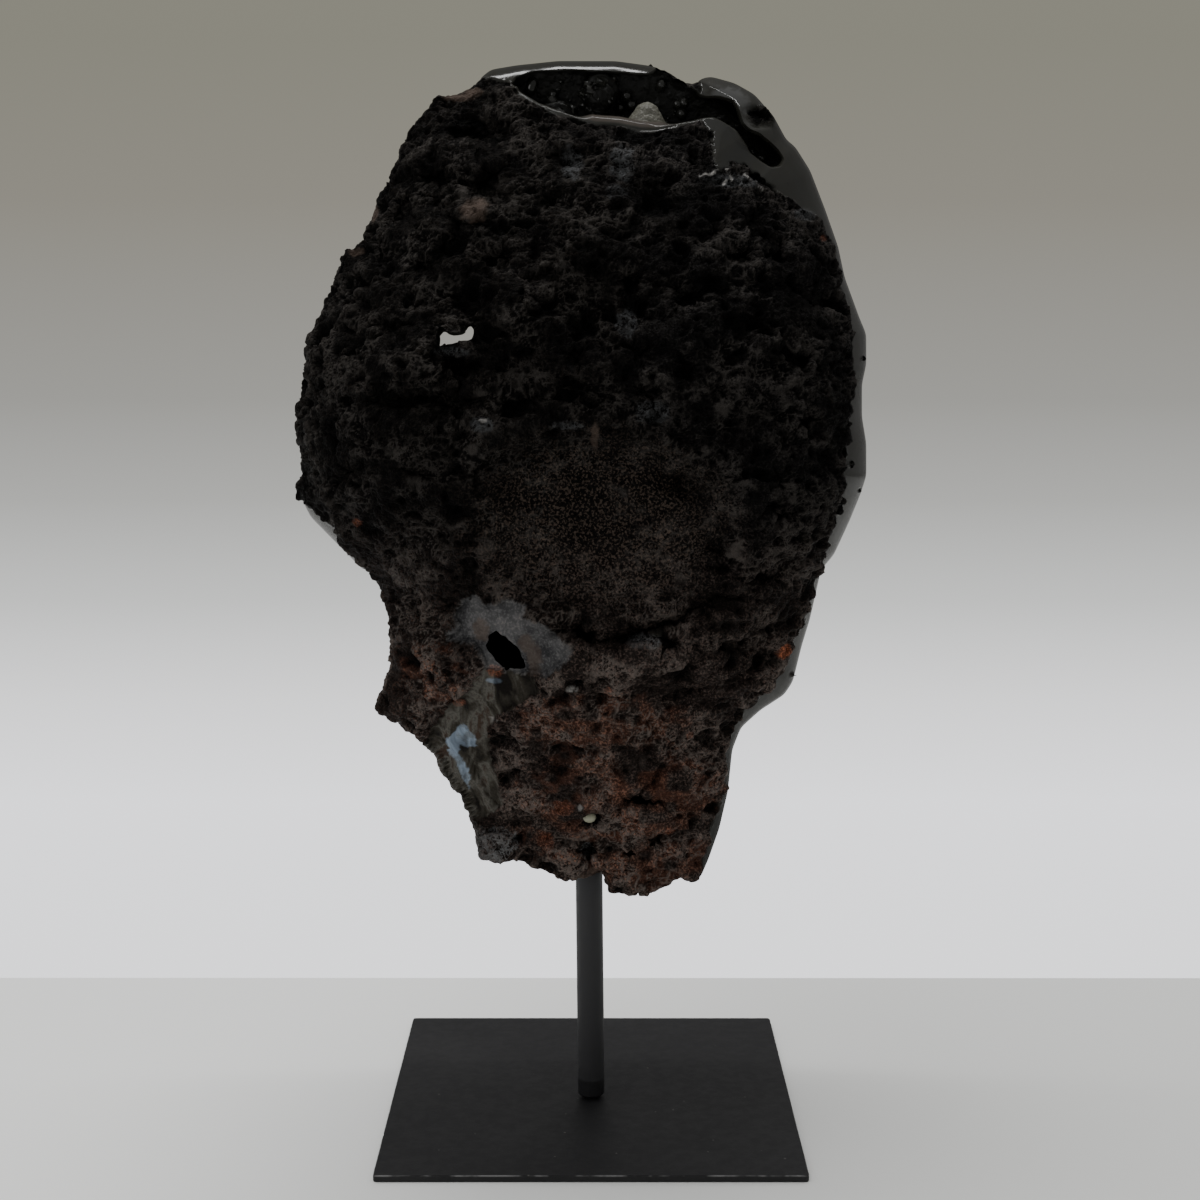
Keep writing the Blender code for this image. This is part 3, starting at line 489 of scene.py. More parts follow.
def bubbles(places, size, seed, fill):
    """Depth from 0 to 1 of round pits: 1 - (gap / radius)^2 in the deepest of the eight nearest cells."""
    scaled = places / (size * MM)
    home = np.floor(scaled - 0.5).astype(np.int64)
    deepest = np.zeros(len(places))
    for corner in np.ndindex(2, 2, 2):
        cell = home + np.array(corner)
        middle = cell + 0.5 + 0.4 * np.stack([2 * random_in(cell, seed + k) - 1 for k in range(3)], -1)
        radius = 0.5 * (0.45 + 0.55 * random_in(cell, seed + 3))
        depth = 1 - ((scaled - middle) ** 2).sum(-1) / radius**2
        there = random_in(cell, seed + 4) < fill
        deepest = np.maximum(deepest, np.where(there, depth * 2 * radius, 0))
    return deepest


def edge_y(z):
    """Where the stone is widest: the section leans from the foot's near side to the ridge's far side."""
    return EDGE_Y_AT_FOOT + (EDGE_Y_AT_TOP - EDGE_Y_AT_FOOT) * (z - STONE_FOOT) / STONE_RISE


def dome_y(z, distance):
    """The crust without its relief: a dome that rises towards -Y with the distance from the outline."""
    share = np.clip(distance / DOME_REACH, 0, 1)
    depth = DOME_DEPTH * np.exp(-np.abs((z - DOME_MIDDLE) / DOME_SPREAD) ** 2.2)
    return edge_y(z) - depth * (1 - (1 - share) ** 2) ** 0.75


def polish(x, z):
    """1 on polished agate and 0 on the rough crust."""
    fields = [inside_distance(x, z, field) for field in (POLISH_RIGHT, POLISH_LEFT, POLISH_RIM)]
    lip = line_distance(x, z, NEAR_RIM)
    fields.append((RIM_POLISH + RIM_POLISH_CHANGE * lattice_noise(x, z, 9, 77)) * MM - lip)
    most = np.maximum.reduce(fields) + MM * layered_noise(x, z, POLISH_WANDER) * fade(lip, 5)
    most = np.maximum(most, 3 * MM * spots(x, z, GLASSY_SPOTS) - 1.2 * MM)
    return smooth_step(most / (POLISH_SOFTNESS * MM) + 0.5)


def oval(x, z, middle_x, middle_z, half_width, half_height):
    return ((x / MM - middle_x) / half_width) ** 2 + ((z / MM - middle_z) / half_height) ** 2


def spots(x, z, places):
    """1 in each oval spot, with an uneven border."""
    ragged = layered_noise(x, z, SPOT_EDGE)
    return np.maximum.reduce([smooth_step(1.7 - oval(x, z, *place) + ragged) for place in places])


def area(x, z, outline, teeth=1.1, edge=0.7):
    """1 inside the outline, whose border has teeth of this height and is this soft, in mm."""
    serrated = teeth * MM * layered_noise(x, z, AREA_TEETH)
    return smooth_step((inside_distance(x, z, outline) + serrated) / (edge * MM) + 0.5)


def smooth_areas(x, z, edge):
    """1 where agate shows in the crust, with a border this many mm soft."""
    edge = edge * MM
    return np.maximum.reduce([smooth_step(inside_distance(x, z, one) / edge + 0.3) for one in SMOOTH_AREAS])


def scoop(x, z, border=1.25):
    """1 in the shallow dish; the border is a little outside its oval."""
    return smooth_step(border - oval(x, z, *SCOOP))


def relief(x, z, least=LEAST_PIT):
    """How far the crust stands back from the dome: below zero on lumps and ledges, above it in pits."""
    scooped = scoop(x, z)
    wild = (1 - 0.65 * scooped) * (1 - 0.75 * smooth_areas(x, z, 4))
    back = SCOOP_DEPTH * scooped - MM * layered_noise(x, z, CRUST_SWELL) * wild
    back -= SCOOP_RIDGE_HEIGHT * hump(line_distance(x, z, SCOOP_RIDGE), 5)
    back += CREASE_DEPTH * hump(line_distance(x, z, CREASE), 4.5)
    crease = metres(CREASE)
    below = np.interp(x, crease[:, 0], crease[:, 1]) - z
    beside = fade(x - crease[0, 0] + LEDGE_END * MM, LEDGE_END)
    beside = beside * fade(crease[-1, 0] - x + LEDGE_END * MM, LEDGE_END)
    back -= LEDGE_HEIGHT * beside * fade(below, 5) * np.exp(-np.clip(below, 0, 1) / LEDGE_FADE)
    ragged_x, ragged_z = (
        place + MM * layered_noise(x, z, [(2.4, 7, seed), (1.1, 3, seed + 1)])
        for place, seed in ((x, 21), (z, 25))
    )
    for sign, blobs in ((1, PITS), (-1, LUMPS)):
        for middle_x, middle_z, half_width, half_height, depth in blobs:
            half_width, half_height = max(half_width, least), max(half_height, least)
            spread = oval(ragged_x, ragged_z, middle_x, middle_z, half_width, half_height)
            back += sign * depth * MM * np.exp(-(spread**1.5))
    return back


def fine_relief(x, z):
    """Small sharp hollows, and the knob's ridge with flat slopes to both sides."""
    back = GROOVE_DEPTH * hump(line_distance(x, z, GROOVE), 1.1) + SLATE_DEPTH * area(x, z, SLATE)
    for *place, depth in FINE_PITS:
        back += depth * MM * np.exp(-(oval(x, z, *place) ** 2))
    ridge = line_distance(x, z, KNOB_RIDGE)
    return back - KNOB_RIDGE_HEIGHT * np.clip(1 - ridge / KNOB_RIDGE_WIDTH, 0, 1)


def wall_thickness(x, z):
    """The crust over the hollow thins towards the lips of the window and the holes."""
    gap = np.minimum.reduce([
        line_distance(x, z, NEAR_RIM),
        -inside_distance(x, z, SEE_THROUGH),
        -inside_distance(x, z, DARK_HOLE),
    ])
    return WALL_AT_LIP + (2 * WALL - WALL_AT_LIP) * smooth_step(gap / WALL_LIP_REACH)


def inside_mask(loops, x_axis, z_axis):
    """Along each lattice row, a place with an odd count of border lines on its left lies inside."""
    count = np.zeros((len(z_axis), len(x_axis) + 1), int)
    for start in loops:
        end = np.roll(start, -1, 0)
        segment, row = np.nonzero((z_axis > start[:, 1, None]) != (z_axis > end[:, 1, None]))
        share = (z_axis[row] - start[segment, 1]) / (end[segment, 1] - start[segment, 1])
        x = start[segment, 0] + share * (end[segment, 0] - start[segment, 0])
        np.add.at(count, (row, np.searchsorted(x_axis, x)), 1)
    return (np.cumsum(count, 1)[:, :-1] % 2 == 1).T


def trimmed_lattice(loops, step):
    """Square lattice inside the loops, its border corners moved onto the nearest loop.

    Gives x, z, the quads, and for each loop the border corners on it in order, with their places along it.
    """
    low = np.min([loop.min(0) for loop in loops], 0)
    high = np.max([loop.max(0) for loop in loops], 0)
    x_axis, z_axis = (np.arange(low[k] - step, high[k] + 2 * step, step) for k in (0, 1))
    inside = inside_mask(loops, x_axis, z_axis)
    whole = inside[:-1, :-1] & inside[1:, :-1] & inside[1:, 1:] & inside[:-1, 1:]
    i, j = np.nonzero(whole)
    rows = len(z_axis)
    first = i * rows + j
    quads = np.stack([first, first + rows, first + rows + 1, first + 1], -1)
    used, quads = np.unique(quads, return_inverse=True)
    quads = quads.reshape(-1, 4)
    x, z = x_axis[used // rows], z_axis[used % rows]
    border = np.nonzero(np.bincount(quads.ravel()) < 4)[0]
    found = [line_gaps(x[border], z[border], loop, True) for loop in loops]
    nearest = np.argmin([gaps for gaps, _, _ in found], 0)
    edges = []
    for number, (_, places, points) in enumerate(found):
        mine = nearest == number
        x[border[mine]], z[border[mine]] = points[mine].T
        order = np.argsort(places[mine])
        edges.append((border[mine][order], places[mine][order]))
    return x, z, quads, edges


def grid_quads(across, along, closed=False):
    """Quads of a grid of points (across, along); the first way round joins up where closed."""
    k = np.arange(across if closed else across - 1)[:, None]
    m = np.arange(along - 1)
    after = (k + 1) % across
    here, there = k * along + m, after * along + m
    return np.stack([here, there, there + 1, here + 1], -1).reshape(-1, 4)


def face_normals(points, faces):
    """Normals as long as twice each face's area: the cross product of the diagonals, or of two sides."""
    a, b, c, d = (points[faces[:, k]] for k in (0, 1, 2, -1))
    return np.cross(c - a, d - b) if faces.shape[1] == 4 else np.cross(b - a, c - a)


def point_normals(points, faces):
    normals = face_normals(points, faces)
    total = np.zeros_like(points)
    for k in range(3):
        values = np.repeat(normals[:, k], faces.shape[1])
        total[:, k] = np.bincount(faces.ravel(), values, len(points))
    return total / np.maximum(np.linalg.norm(total, axis=1), 1e-15)[:, None]


def mesh_piece(name, points, faces, finish, values=None, normals=None, smooth=True):
    """An object made from whole arrays, riding on the stand; each named value has one number a point."""
    used, corners = np.unique(faces, return_inverse=True)
    mesh = bpy.data.meshes.new(name)
    mesh.vertices.add(len(used))
    mesh.vertices.foreach_set("co", points[used].astype(np.float32).ravel())
    mesh.loops.add(faces.size)
    mesh.loops.foreach_set("vertex_index", corners.ravel().astype(np.int32))
    mesh.polygons.add(len(faces))
    mesh.polygons.foreach_set("loop_start", np.arange(0, faces.size, faces.shape[1], dtype=np.int32))
    mesh.update(calc_edges=True)
    for label, numbers in (values or {}).items():
        layer = mesh.attributes.new(label, "FLOAT", "POINT").data
        layer.foreach_set("value", numbers[used].astype(np.float32))
    if smooth:
        mesh.shade_smooth()
    if normals is not None:
        mesh.normals_split_custom_set_from_vertices(normals[used])
    mesh.materials.append(finish)
    piece = bpy.data.objects.new(name, mesh)
    bpy.context.scene.collection.objects.link(piece)
    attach(piece, "root")
    return piece


def hole_lines():
    """The borders of the two holes through the crust, with the stone on their right."""
    return [curve(hole[::-1], HOLE_SOFTNESS) for hole in (SEE_THROUGH, DARK_HOLE)]


def stone_lines():
    """The silhouette, jagged where it is rough, and the crust's borders with the stone on their right.

    The first border is the silhouette with the window as a bay in it, which starts at the index given last.
    """
    silhouette = curve(OUTLINE, 1.5 * MM)
    x, z = silhouette.T
    jag = MM * layered_noise(x, z, OUTLINE_JAG) * (1 - polish(x, z))
    silhouette = silhouette + outwards(silhouette) * jag[:, None]
    silhouette = np.clip(silhouette, BOX_LOW[[0, 2]], BOX_HIGH[[0, 2]])
    window = curve(WINDOW_LINE, 0.9 * MM, closed=False)
    bay = int(((silhouette - window[0]) ** 2).sum(1).argmin())
    window[0], window[-1] = silhouette[bay], silhouette[0]
    crust = np.vstack([silhouette[: bay + 1], window[1:-1]])
    holes = hole_lines()
    for hole, jag in zip(holes, HOLE_JAG):
        hole += jag * MM * outwards(hole) * lattice_noise(*hole.T, 2.2, 63)[:, None]
    return silhouette, [crust, *holes], bay


def crust_height(points):
    """Height of vesicular basalt over its smooth form; how deep in a hollow each point lies, how near it is
    to a crest, and whether a thin ridge passes through it (all 0 to 1).

    Four sizes of hollows, wider than high, sink in; the noise that shifts every place makes their borders
    ragged. Clumps stand up between them as the ridges of four noises, and grain covers everything.
    """
    broad, fine = (
        np.stack([solid_noise(points, size, seed + k) for k in range(3)], -1)
        for size, seed in ((6.5, 31), (2.6, 35))
    )
    place = points * (1, 1, HOLLOW_FLATNESS)
    sunk = 0
    for size, depth, slope, seed in HOLLOWS:
        shifted = place + (1.2 + 0.16 * size) * MM * broad + 0.9 * MM * fine
        sunk = sunk + depth * smooth_step(slope * bubbles(shifted, size, seed, HOLLOW_SHARE))
    wavy = place + 1.5 * MM * broad
    ridges = [1 - 2 * np.abs(solid_noise(wavy, size, 80 + k)) for k, (size, _) in enumerate(CLUMPS)]
    clumps = sum(most * ridge for (_, most), ridge in zip(CLUMPS, ridges))
    grain = sum(most * solid_noise(points, size, seed) for most, size, seed in GRAIN)
    sunk_share = np.clip(sunk / 4, 0, 1)
    crest = smooth_step((clumps - 0.2) / 1.6) * (1 - sunk_share)
    thread = smooth_step((np.maximum.reduce(ridges[1:]) - 0.80) / 0.18) * (1 - 0.8 * sunk_share)
    return (clumps + grain - sunk + CLUMP_LIFT) * MM, sunk_share, crest, thread


def stone_values(points, polished, sunk, crest, thread, band):
    """What the stone's finish reads, at each point."""
    x, z = points[:, 0], points[:, 2]
    seams = np.min([line_distance(x, z, seam) for seam in SEAMS], 0)
    seams += 0.35 * MM * lattice_noise(x, z, 1.1, 73)
    slate = area(x, z, SLATE)
    fringe = area(x, z, SLATE, edge=1.6)
    fringe = 4 * fringe * (1 - fringe) * smooth_step(2.5 * lattice_noise(x, z, 3, 74))
    clots = smooth_step(0.6 + 1.3 * lattice_noise(x, z, (6, 5), 95))
    broken = smooth_step(0.55 + 1.3 * lattice_noise(x, z, 1.3, 75))
    whites = [spots(x, z, WHITE_SPOTS), 1.3 * smooth_step(1.5 - seams / (0.5 * MM)), 0.6 * fringe]
    return {
        "polish": polished,
        "sunk": sunk,
        "crest": crest,
        "thread": thread,
        "band": band,
        "slate": slate,
        "olive": area(x, z, OLIVE) * (1 - slate),
        "blue": np.maximum(area(x, z, PALE_BLUE, 1.2), 0.6 * spots(x, z, BLUE_SPOTS)),
        "rust": np.maximum(spots(x, z, RUST_SPOTS[:1]), 0.3 * spots(x, z, RUST_SPOTS[1:])),
        "red": np.maximum(spots(x, z, RED_AREAS[:1]), 0.75 * spots(x, z, RED_AREAS[1:])) * clots,
        "white": np.maximum.reduce(whites) * broken,
        "tan": spots(x, z, TAN_SPOTS),
        "skin": np.maximum(spots(x, z, GREY_SKIN), area(x, z, CORNER, 2.0)),
        "dish": scoop(x, z, 1.3),
    }


def plain_values(count, **given):
    """What the stone's finish reads on a smooth piece: nothing but the values given."""
    return {name: np.zeros(count) for name in READ} | given


def make_crust(silhouette, loops, finish):
    """Rough side: y = dome + relief over a trimmed lattice, then grain and bubbles along its normals.

    Cut into four pieces one above the other, which share their normals. Gives each border's points.
    """
    x, z, quads, edges = trimmed_lattice(loops, GRID)
    distance = line_gaps(x, z, silhouette[::5], True)[0]
    close = distance < 7 * MM
    exact = line_gaps(x[close], z[close], silhouette, True)[0]
    share = fade(distance[close] - 3 * MM, 4)
    distance[close] = exact * (1 - share) + distance[close] * share
    pits = fine_relief(x, z)
    polished = polish(x, z) * (1 - np.clip(pits / (1.2 * MM), 0, 1))
    back = relief(x, z) * (1 - polished) + pits
    points = np.stack([x, dome_y(z, distance) + back * fade(distance, 6), z], -1)
    height, sunk, crest, thread = crust_height(points)
    height += SUNK_FILL * sunk * fade(back, 8)
    # Painted shade: sunk also grows with the relief's depth and the fine pits, and the finish darkens it.
    sunk = np.clip(sunk + np.clip(back / (14 * MM), 0, 0.7) + np.clip(pits / (3 * MM), 0, 1), 0, 1)
    scooped, agate = scoop(x, z), smooth_areas(x, z, 2.5)
    lip = fade(line_distance(x, z, NEAR_RIM), 2.5)
    rough = (1 - polished) * fade(distance, 2.5) * (1 - 0.66 * scooped) * (1 - 0.85 * agate) * lip
    turns = (0.53 * x - 0.85 * z) / RIB_STEP
    ribs = RIB_HEIGHT * np.sin(2 * math.pi * turns + 2 * lattice_noise(x, z, 7, 17))
    ribs *= smooth_step(1.5 - distance / (5 * MM)) * area(x, z, OLIVE)
    height = height * rough + ribs * fade(distance, 1.5)
    points += point_normals(points, quads) * height[:, None]
    points = np.clip(points, BOX_LOW, BOX_HIGH)
    normals = point_normals(points, quads)
    # The dish gets less of the painted shade.
    sunk *= 1 - 0.7 * scooped
    band = 0.1 * np.minimum(distance / (12 * MM), 1.2)
    values = stone_values(points, polished, sunk, crest, thread, band)
    level = z[quads[:, 0]]
    cuts = np.quantile(level, np.linspace(0, 1, len(CRUST_PIECES) + 1))
    cuts[-1] += GRID
    for name, low, high in zip(CRUST_PIECES, cuts, cuts[1:]):
        tile = quads[(level >= low) & (level < high)]
        piece = mesh_piece(name, points, tile, finish, values, normals)
    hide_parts("stone")
    return [(points[corners], places) for corners, places in edges]


def make_sides(silhouette, places, finish):
    """Side wall: the silhouette carried to the sawn face, ever softer and smaller, then a quarter round.

    Row t lies at y = edge + t (face - edge); its line is the silhouette blurred by 0 to 15 mm.
    """
    tracks = [at_index(silhouette, places)]
    tracks += [at_index(softened(silhouette, width * MM), places) for _, width in SIDE_BLURS]
    rows = np.r_[np.linspace(0, 0.3, 14), np.linspace(0.3, 0.8, 8), np.linspace(0.8, 1, 11)]
    rows = np.unique(np.round(rows, 4))
    reached = [0] + [row for row, _ in SIDE_BLURS]
    weights = np.stack([np.interp(rows, reached, one) for one in np.eye(len(tracks))], -1)
    flat = np.einsum("rk,knc->nrc", weights, np.array(tracks))
    roll = np.clip((rows - 0.6) / 0.4, 0, 1)
    size = 1 - 0.003 * np.minimum(rows / 0.55, 1) - 0.035 * (1 - np.sqrt(1 - roll**2))
    middle = np.array((0, DOME_MIDDLE))
    flat = middle + size[:, None] * (flat - middle)
    start_y = edge_y(tracks[0][:, 1])[:, None]
    y = start_y + rows * (FACE_Y - start_y)
    points = np.stack([flat[..., 0], y, flat[..., 1]], -1)
    shape = points.shape[:2]
    quads = grid_quads(*shape, closed=True)
    points = points.reshape(-1, 3)
    depth = (y - start_y).ravel()
    start = np.repeat(tracks[0], shape[1], 0)
    wander = 3.5 * MM * solid_noise(points, 8, 19) + 1.5 * MM * solid_noise(points, 3, 20)
    crusty = (1 - polish(*start.T)) * fade(CRUST_WRAP + wander - depth, 2)
    height, sunk, crest, thread = crust_height(points)
    rough = crusty * fade(depth, 2.5)
    points += point_normals(points, quads) * (0.55 * (height - CLUMP_LIFT * MM) * rough)[:, None]
    points = np.clip(points, BOX_LOW, BOX_HIGH)
    band = 0.3 * np.clip(depth / (60 * MM), 0, 1)
    # Painted shade: the side's hollows darken only where it is rough crust.
    values = stone_values(points, 1 - crusty, sunk * rough, crest, thread, band)
    for key in PATCHES:
        values[key] *= crusty
    mesh_piece("polished_side", points, quads, finish, values, point_normals(points, quads))
    return points.reshape(*shape, 3)[:, -1], band.reshape(shape)[:, -1]


def make_sawn_face(rim, rim_band, finish):
    """Sawn face: straight rows from the rim to the opening, a quarter round over its lip, and its wall."""
    opening = curve(FRONT_OPENING, OPENING_SOFTNESS)
    middle = opening.mean(0)
    angle = np.arctan2(*(opening - middle).T[::-1])
    order = np.argsort(angle)
    outer = rim[:, [0, 2]]
    wanted = np.unwrap(np.arctan2(*(outer - middle).T[::-1]))
    way = np.sign(wanted[-1] - wanted[0])
    ahead, behind = np.maximum.accumulate(way * wanted), np.minimum.accumulate(way * wanted[::-1])[::-1]
    wanted = way * (ahead + behind) / 2
    inner, away = (
        np.stack([np.interp(wanted, angle[order], line[order, k], period=2 * math.pi) for k in (0, 1)], -1)
        for line in (opening, outwards(opening))
    )
    share = np.linspace(0, 1, 16)
    flat = outer[:, None] + share[:, None] * (inner + LIP_ROUND * away - outer)[:, None]
    turn = np.radians(np.linspace(0, 90, 8))[1:]
    bend = inner[:, None] + LIP_ROUND * (1 - np.sin(turn))[:, None] * away[:, None]
    wall = np.stack([inner, inner + 1.5 * MM * away], 1)
    flat = np.concatenate([flat, bend, wall], 1)
    y = np.r_[np.full(len(share), FACE_Y), FACE_Y - LIP_ROUND * (1 - np.cos(turn)), *OPENING_WALL_Y]
    y = np.broadcast_to(y, flat.shape[:2])
    points = np.stack([flat[..., 0], y, flat[..., 1]], -1)
    shape = points.shape[:2]
    across = np.r_[share, np.full(len(turn) + 2, 1)]
    band = rim_band[:, None] + across * (1 - rim_band[:, None])
    values = plain_values(band.size, polish=np.ones(band.size), band=band.ravel())
    points, quads = points.reshape(-1, 3), grid_quads(*shape, closed=True)
    mesh_piece("sawn_face", points, quads, finish, values, point_normals(points, quads))


def hollow_y(x, z, far):
    """The hollow's back or its far wall: from the border to full depth on a quarter round 26 mm wide."""
    distance = line_distance(x, z, OUTLINE, closed=True)
    wall = np.maximum(wall_thickness(x, z), relief(x, z, 7) * (1 - polish(x, z)) + WALL_AT_LIP)
    back = dome_y(z, distance) + wall + HOLLOW_WAVES * lattice_noise(x, z, 22, 3)
    front = FACE_Y - FRONT_WALL
    border = (back + front) / 2
    if far:
        border += (FAR_BORDER_Y - border) * fade(z - 425 * MM, 35)
    outline = (FAR_WALL_TOP if far else HOLLOW_TOP) + HOLLOW_SIDES
    share = np.clip(inside_distance(x, z, outline) / HOLLOW_ROUND, 0, 1)
    deep = front - DRUSE_THICKNESS if far else back + DRUSE_THICKNESS
    return border + (deep - border) * np.sqrt(1 - (1 - share) ** 2)


def druse_bumps(points):
    """Crystals too small to have faces of their own."""
    cells = bubbles(points, 4, 141, 1) + 0.6 * bubbles(points, 2.2, 151, 1)
    return (1.3 * cells + 0.5 * solid_noise(points, 9, 161)) * MM


def make_druse(finish):
    """The hollow's two sheets of small crystals; both end on the same border corners round the sides."""
    sheets = []
    back_line, front_line = (curve(top + HOLLOW_SIDES, 1.2 * MM) for top in (HOLLOW_BACK_TOP, FAR_WALL_TOP))
    holes = hole_lines()
    opening = curve(FRONT_OPENING[::-1], OPENING_SOFTNESS)
    for name, loops, far in (
        ("druse_back", [back_line, *holes], False), ("druse_front", [front_line, opening], True)
    ):
        x, z, quads, _ = trimmed_lattice(loops, DRUSE_GRID)
        if not far:
            quads = quads[:, ::-1]
        points = np.stack([x, hollow_y(x, z, far), z], -1)
        border = line_gaps(x, z, loops[0], True)[0]
        points += point_normals(points, quads) * (druse_bumps(points) * fade(border, 3))[:, None]
        piece = mesh_piece(name, points, quads, finish)
        sheets.append((points, quads))
    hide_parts("crystal_crust")
    return sheets


def spire(root, tip, root_radius, tip_radius, sides=36, rows=40, power=0.8, swelling=1.0):
    """A lumpy cone: circles along the axis whose radius goes from root to tip, swelling here and there."""
    start, end = metres(root), metres(tip)
    axis = Vector(end - start).normalized()
    across = np.array(axis.orthogonal().normalized())
    other = np.cross(np.array(axis), across)
    along = np.linspace(0, 1, rows)
    angle = 2 * math.pi * np.arange(sides) / sides
    swell = 1 + swelling * (0.14 * np.sin(9 * along + start[0] * 500) + 0.07 * np.sin(23 * along))
    radius = MM * (tip_radius + (root_radius - tip_radius) * (1 - along) ** power) * swell
    radius *= np.sqrt(np.clip((1 - along) / 0.08, 0, 1))
    circle = np.cos(angle)[:, None, None] * across + np.sin(angle)[:, None, None] * other
    points = start + along[:, None] * (end - start) + radius[:, None] * circle
    points = points.reshape(-1, 3)
    quads = grid_quads(sides, rows, closed=True)[:, ::-1]
    return points, quads


def make_stalactites(finish):
    """The stalactites as one piece, rough with crystals."""
    parts = [spire(*stalactite) for stalactite in STALACTITES]
    count = np.cumsum([0] + [len(points) for points, _ in parts])
    points = np.vstack([points for points, _ in parts])
    quads = np.vstack([quads + first for (_, quads), first in zip(parts, count)])
    points += point_normals(points, quads) * (druse_bumps(points) - 0.8 * MM)[:, None]
    mesh_piece("stalactites", points, quads, finish)
    return points, quads


def make_cream_cone(finish):
    """The cream cone in the window, with bumps half as high."""
    points, quads = spire(*CREAM_CONE, power=0.95, swelling=0)
    points += point_normals(points, quads) * (0.5 * druse_bumps(points) - 0.4 * MM)[:, None]
    mesh_piece("cream_cone", points, quads, finish)


def make_crystals(sheets, finish):
    """Six-sided pointed prisms of quartz, strewn over the sheets by area and leaning a little.

    They keep clear of the two holes through the crust and of the far wall's top.
    """
    chance = np.random.default_rng(7)
    corners = np.concatenate([points[quads] for points, quads in sheets])
    normals = np.concatenate([face_normals(points, quads) for points, quads in sheets])
    areas = np.linalg.norm(normals, axis=1)
    x, z = corners[:, 0, 0], corners[:, 0, 2]
    for line, clear in CLEAR_OF_CRYSTALS:
        areas = np.where(line_distance(x, z, line) < clear * MM, 0, areas)
    areas = np.where(z > SHADED_TOP_FROM, SHADED_TOP_SHARE * areas, areas)
    count = CRYSTALS
    chosen = chance.choice(len(areas), count, p=areas / areas.sum())
    u, v = chance.random((2, count, 1))
    a, b, c, d = (corners[chosen, k] for k in range(4))
    root = a * (1 - u) * (1 - v) + b * u * (1 - v) + c * u * v + d * (1 - u) * v
    lengths = np.linalg.norm(normals[chosen], axis=1)[:, None]
    axis = normals[chosen] / lengths + 0.32 * chance.normal(size=(count, 3))
    axis /= np.linalg.norm(axis, axis=1)[:, None]
    side = np.cross(axis, chance.normal(size=(count, 3)))
    side /= np.linalg.norm(side, axis=1)[:, None]
    other = np.cross(axis, side)
    radius = MM * (0.6 + 2.6 * chance.random((count, 1, 1)) ** 3)
    length = radius * (1.2 + 1.1 * chance.random((count, 1, 1)))
    angle = 2 * math.pi * np.arange(6)[None, :, None] / 6
    circle = np.cos(angle) * side[:, None] + np.sin(angle) * other[:, None]
    foot = root[:, None] - 0.5 * length * axis[:, None] + radius * circle
    shoulder = root[:, None] + 0.5 * length * axis[:, None] + radius * circle
    point = root[:, None] + (0.5 * length + 1.15 * radius) * axis[:, None]
    points = np.concatenate([foot, shoulder, point], 1)
    k = np.arange(6)
    after = (k + 1) % 6
    sides = [(k, after, after + 6), (k, after + 6, k + 6), (k + 6, after + 6, np.full(6, 12))]
    one = np.concatenate([np.stack(corner, -1) for corner in sides])
    faces = one[None] + 13 * np.arange(count)[:, None, None]
    for number, half in enumerate(np.array_split(faces, 2), 1):
        name = f"quartz_crystals_{number}"
        mesh_piece(name, points.reshape(-1, 3), half.reshape(-1, 3), finish, smooth=False)


def swept_lip(edge, out, inner_y, rows, raised=None, raised_rows=None):
    """A band carried along a border of the crust.

    Each row is (shift out of the stone in mm, share of the way from the crust's y to the hollow's y).
    """
    rows = np.array(rows, float)[None]
    if raised is not None:
        rows = rows + raised[:, None, None] * (np.array(raised_rows, float) - rows)
    flat = edge[:, None, [0, 2]] + MM * rows[..., :1] * out[:, None]
    y = edge[:, 1, None] + rows[..., 1] * np.maximum(inner_y - edge[:, 1], 3 * MM)[:, None]
    return np.stack([flat[..., 0], y, flat[..., 1]], -1)


def make_window_rim(edge, places, line, far_part, finish):
    """The window's lip: polished and round, and a slanting cut in the middle of the near rim."""
    out = at_index(outwards(line, closed=False), places, closed=False)
    out /= np.linalg.norm(out, axis=1)[:, None]
    x, z = edge[:, 0], edge[:, 2]
    toward_far = far_part(places)
    inner = hollow_y(x, z, False) * (1 - toward_far) + hollow_y(x, z, True) * toward_far
    raised = fade(x - CUT_FROM * MM, 8) * fade(CUT_TO * MM - x, 8) * (1 - toward_far)
    points = swept_lip(edge, out, inner, PLAIN_LIP, raised, CUT_LIP)
    shape = points.shape[:2]
    points, quads = points.reshape(-1, 3), grid_quads(*shape)
    wobble = LIP_WOBBLE * solid_noise(points, 5, 171)
    taper = np.tile(np.minimum(1, np.arange(shape[1]) / 2), shape[0])
    points += point_normals(points, quads) * (wobble * taper)[:, None]
    inside = np.tile(np.linspace(0, 1, shape[1]), shape[0])
    tan = np.repeat(raised, shape[1])
    tan = tan * smooth_step((inside - 0.12) / 0.1) * smooth_step((0.72 - inside) / 0.15)
    shine = 1 - 0.9 * smooth_step((inside - 0.55) / 0.2)
    values = plain_values(len(points), polish=shine, tan=tan, band=np.full(len(points), 0.06))
    mesh_piece("window_rim", points, quads, finish, values)


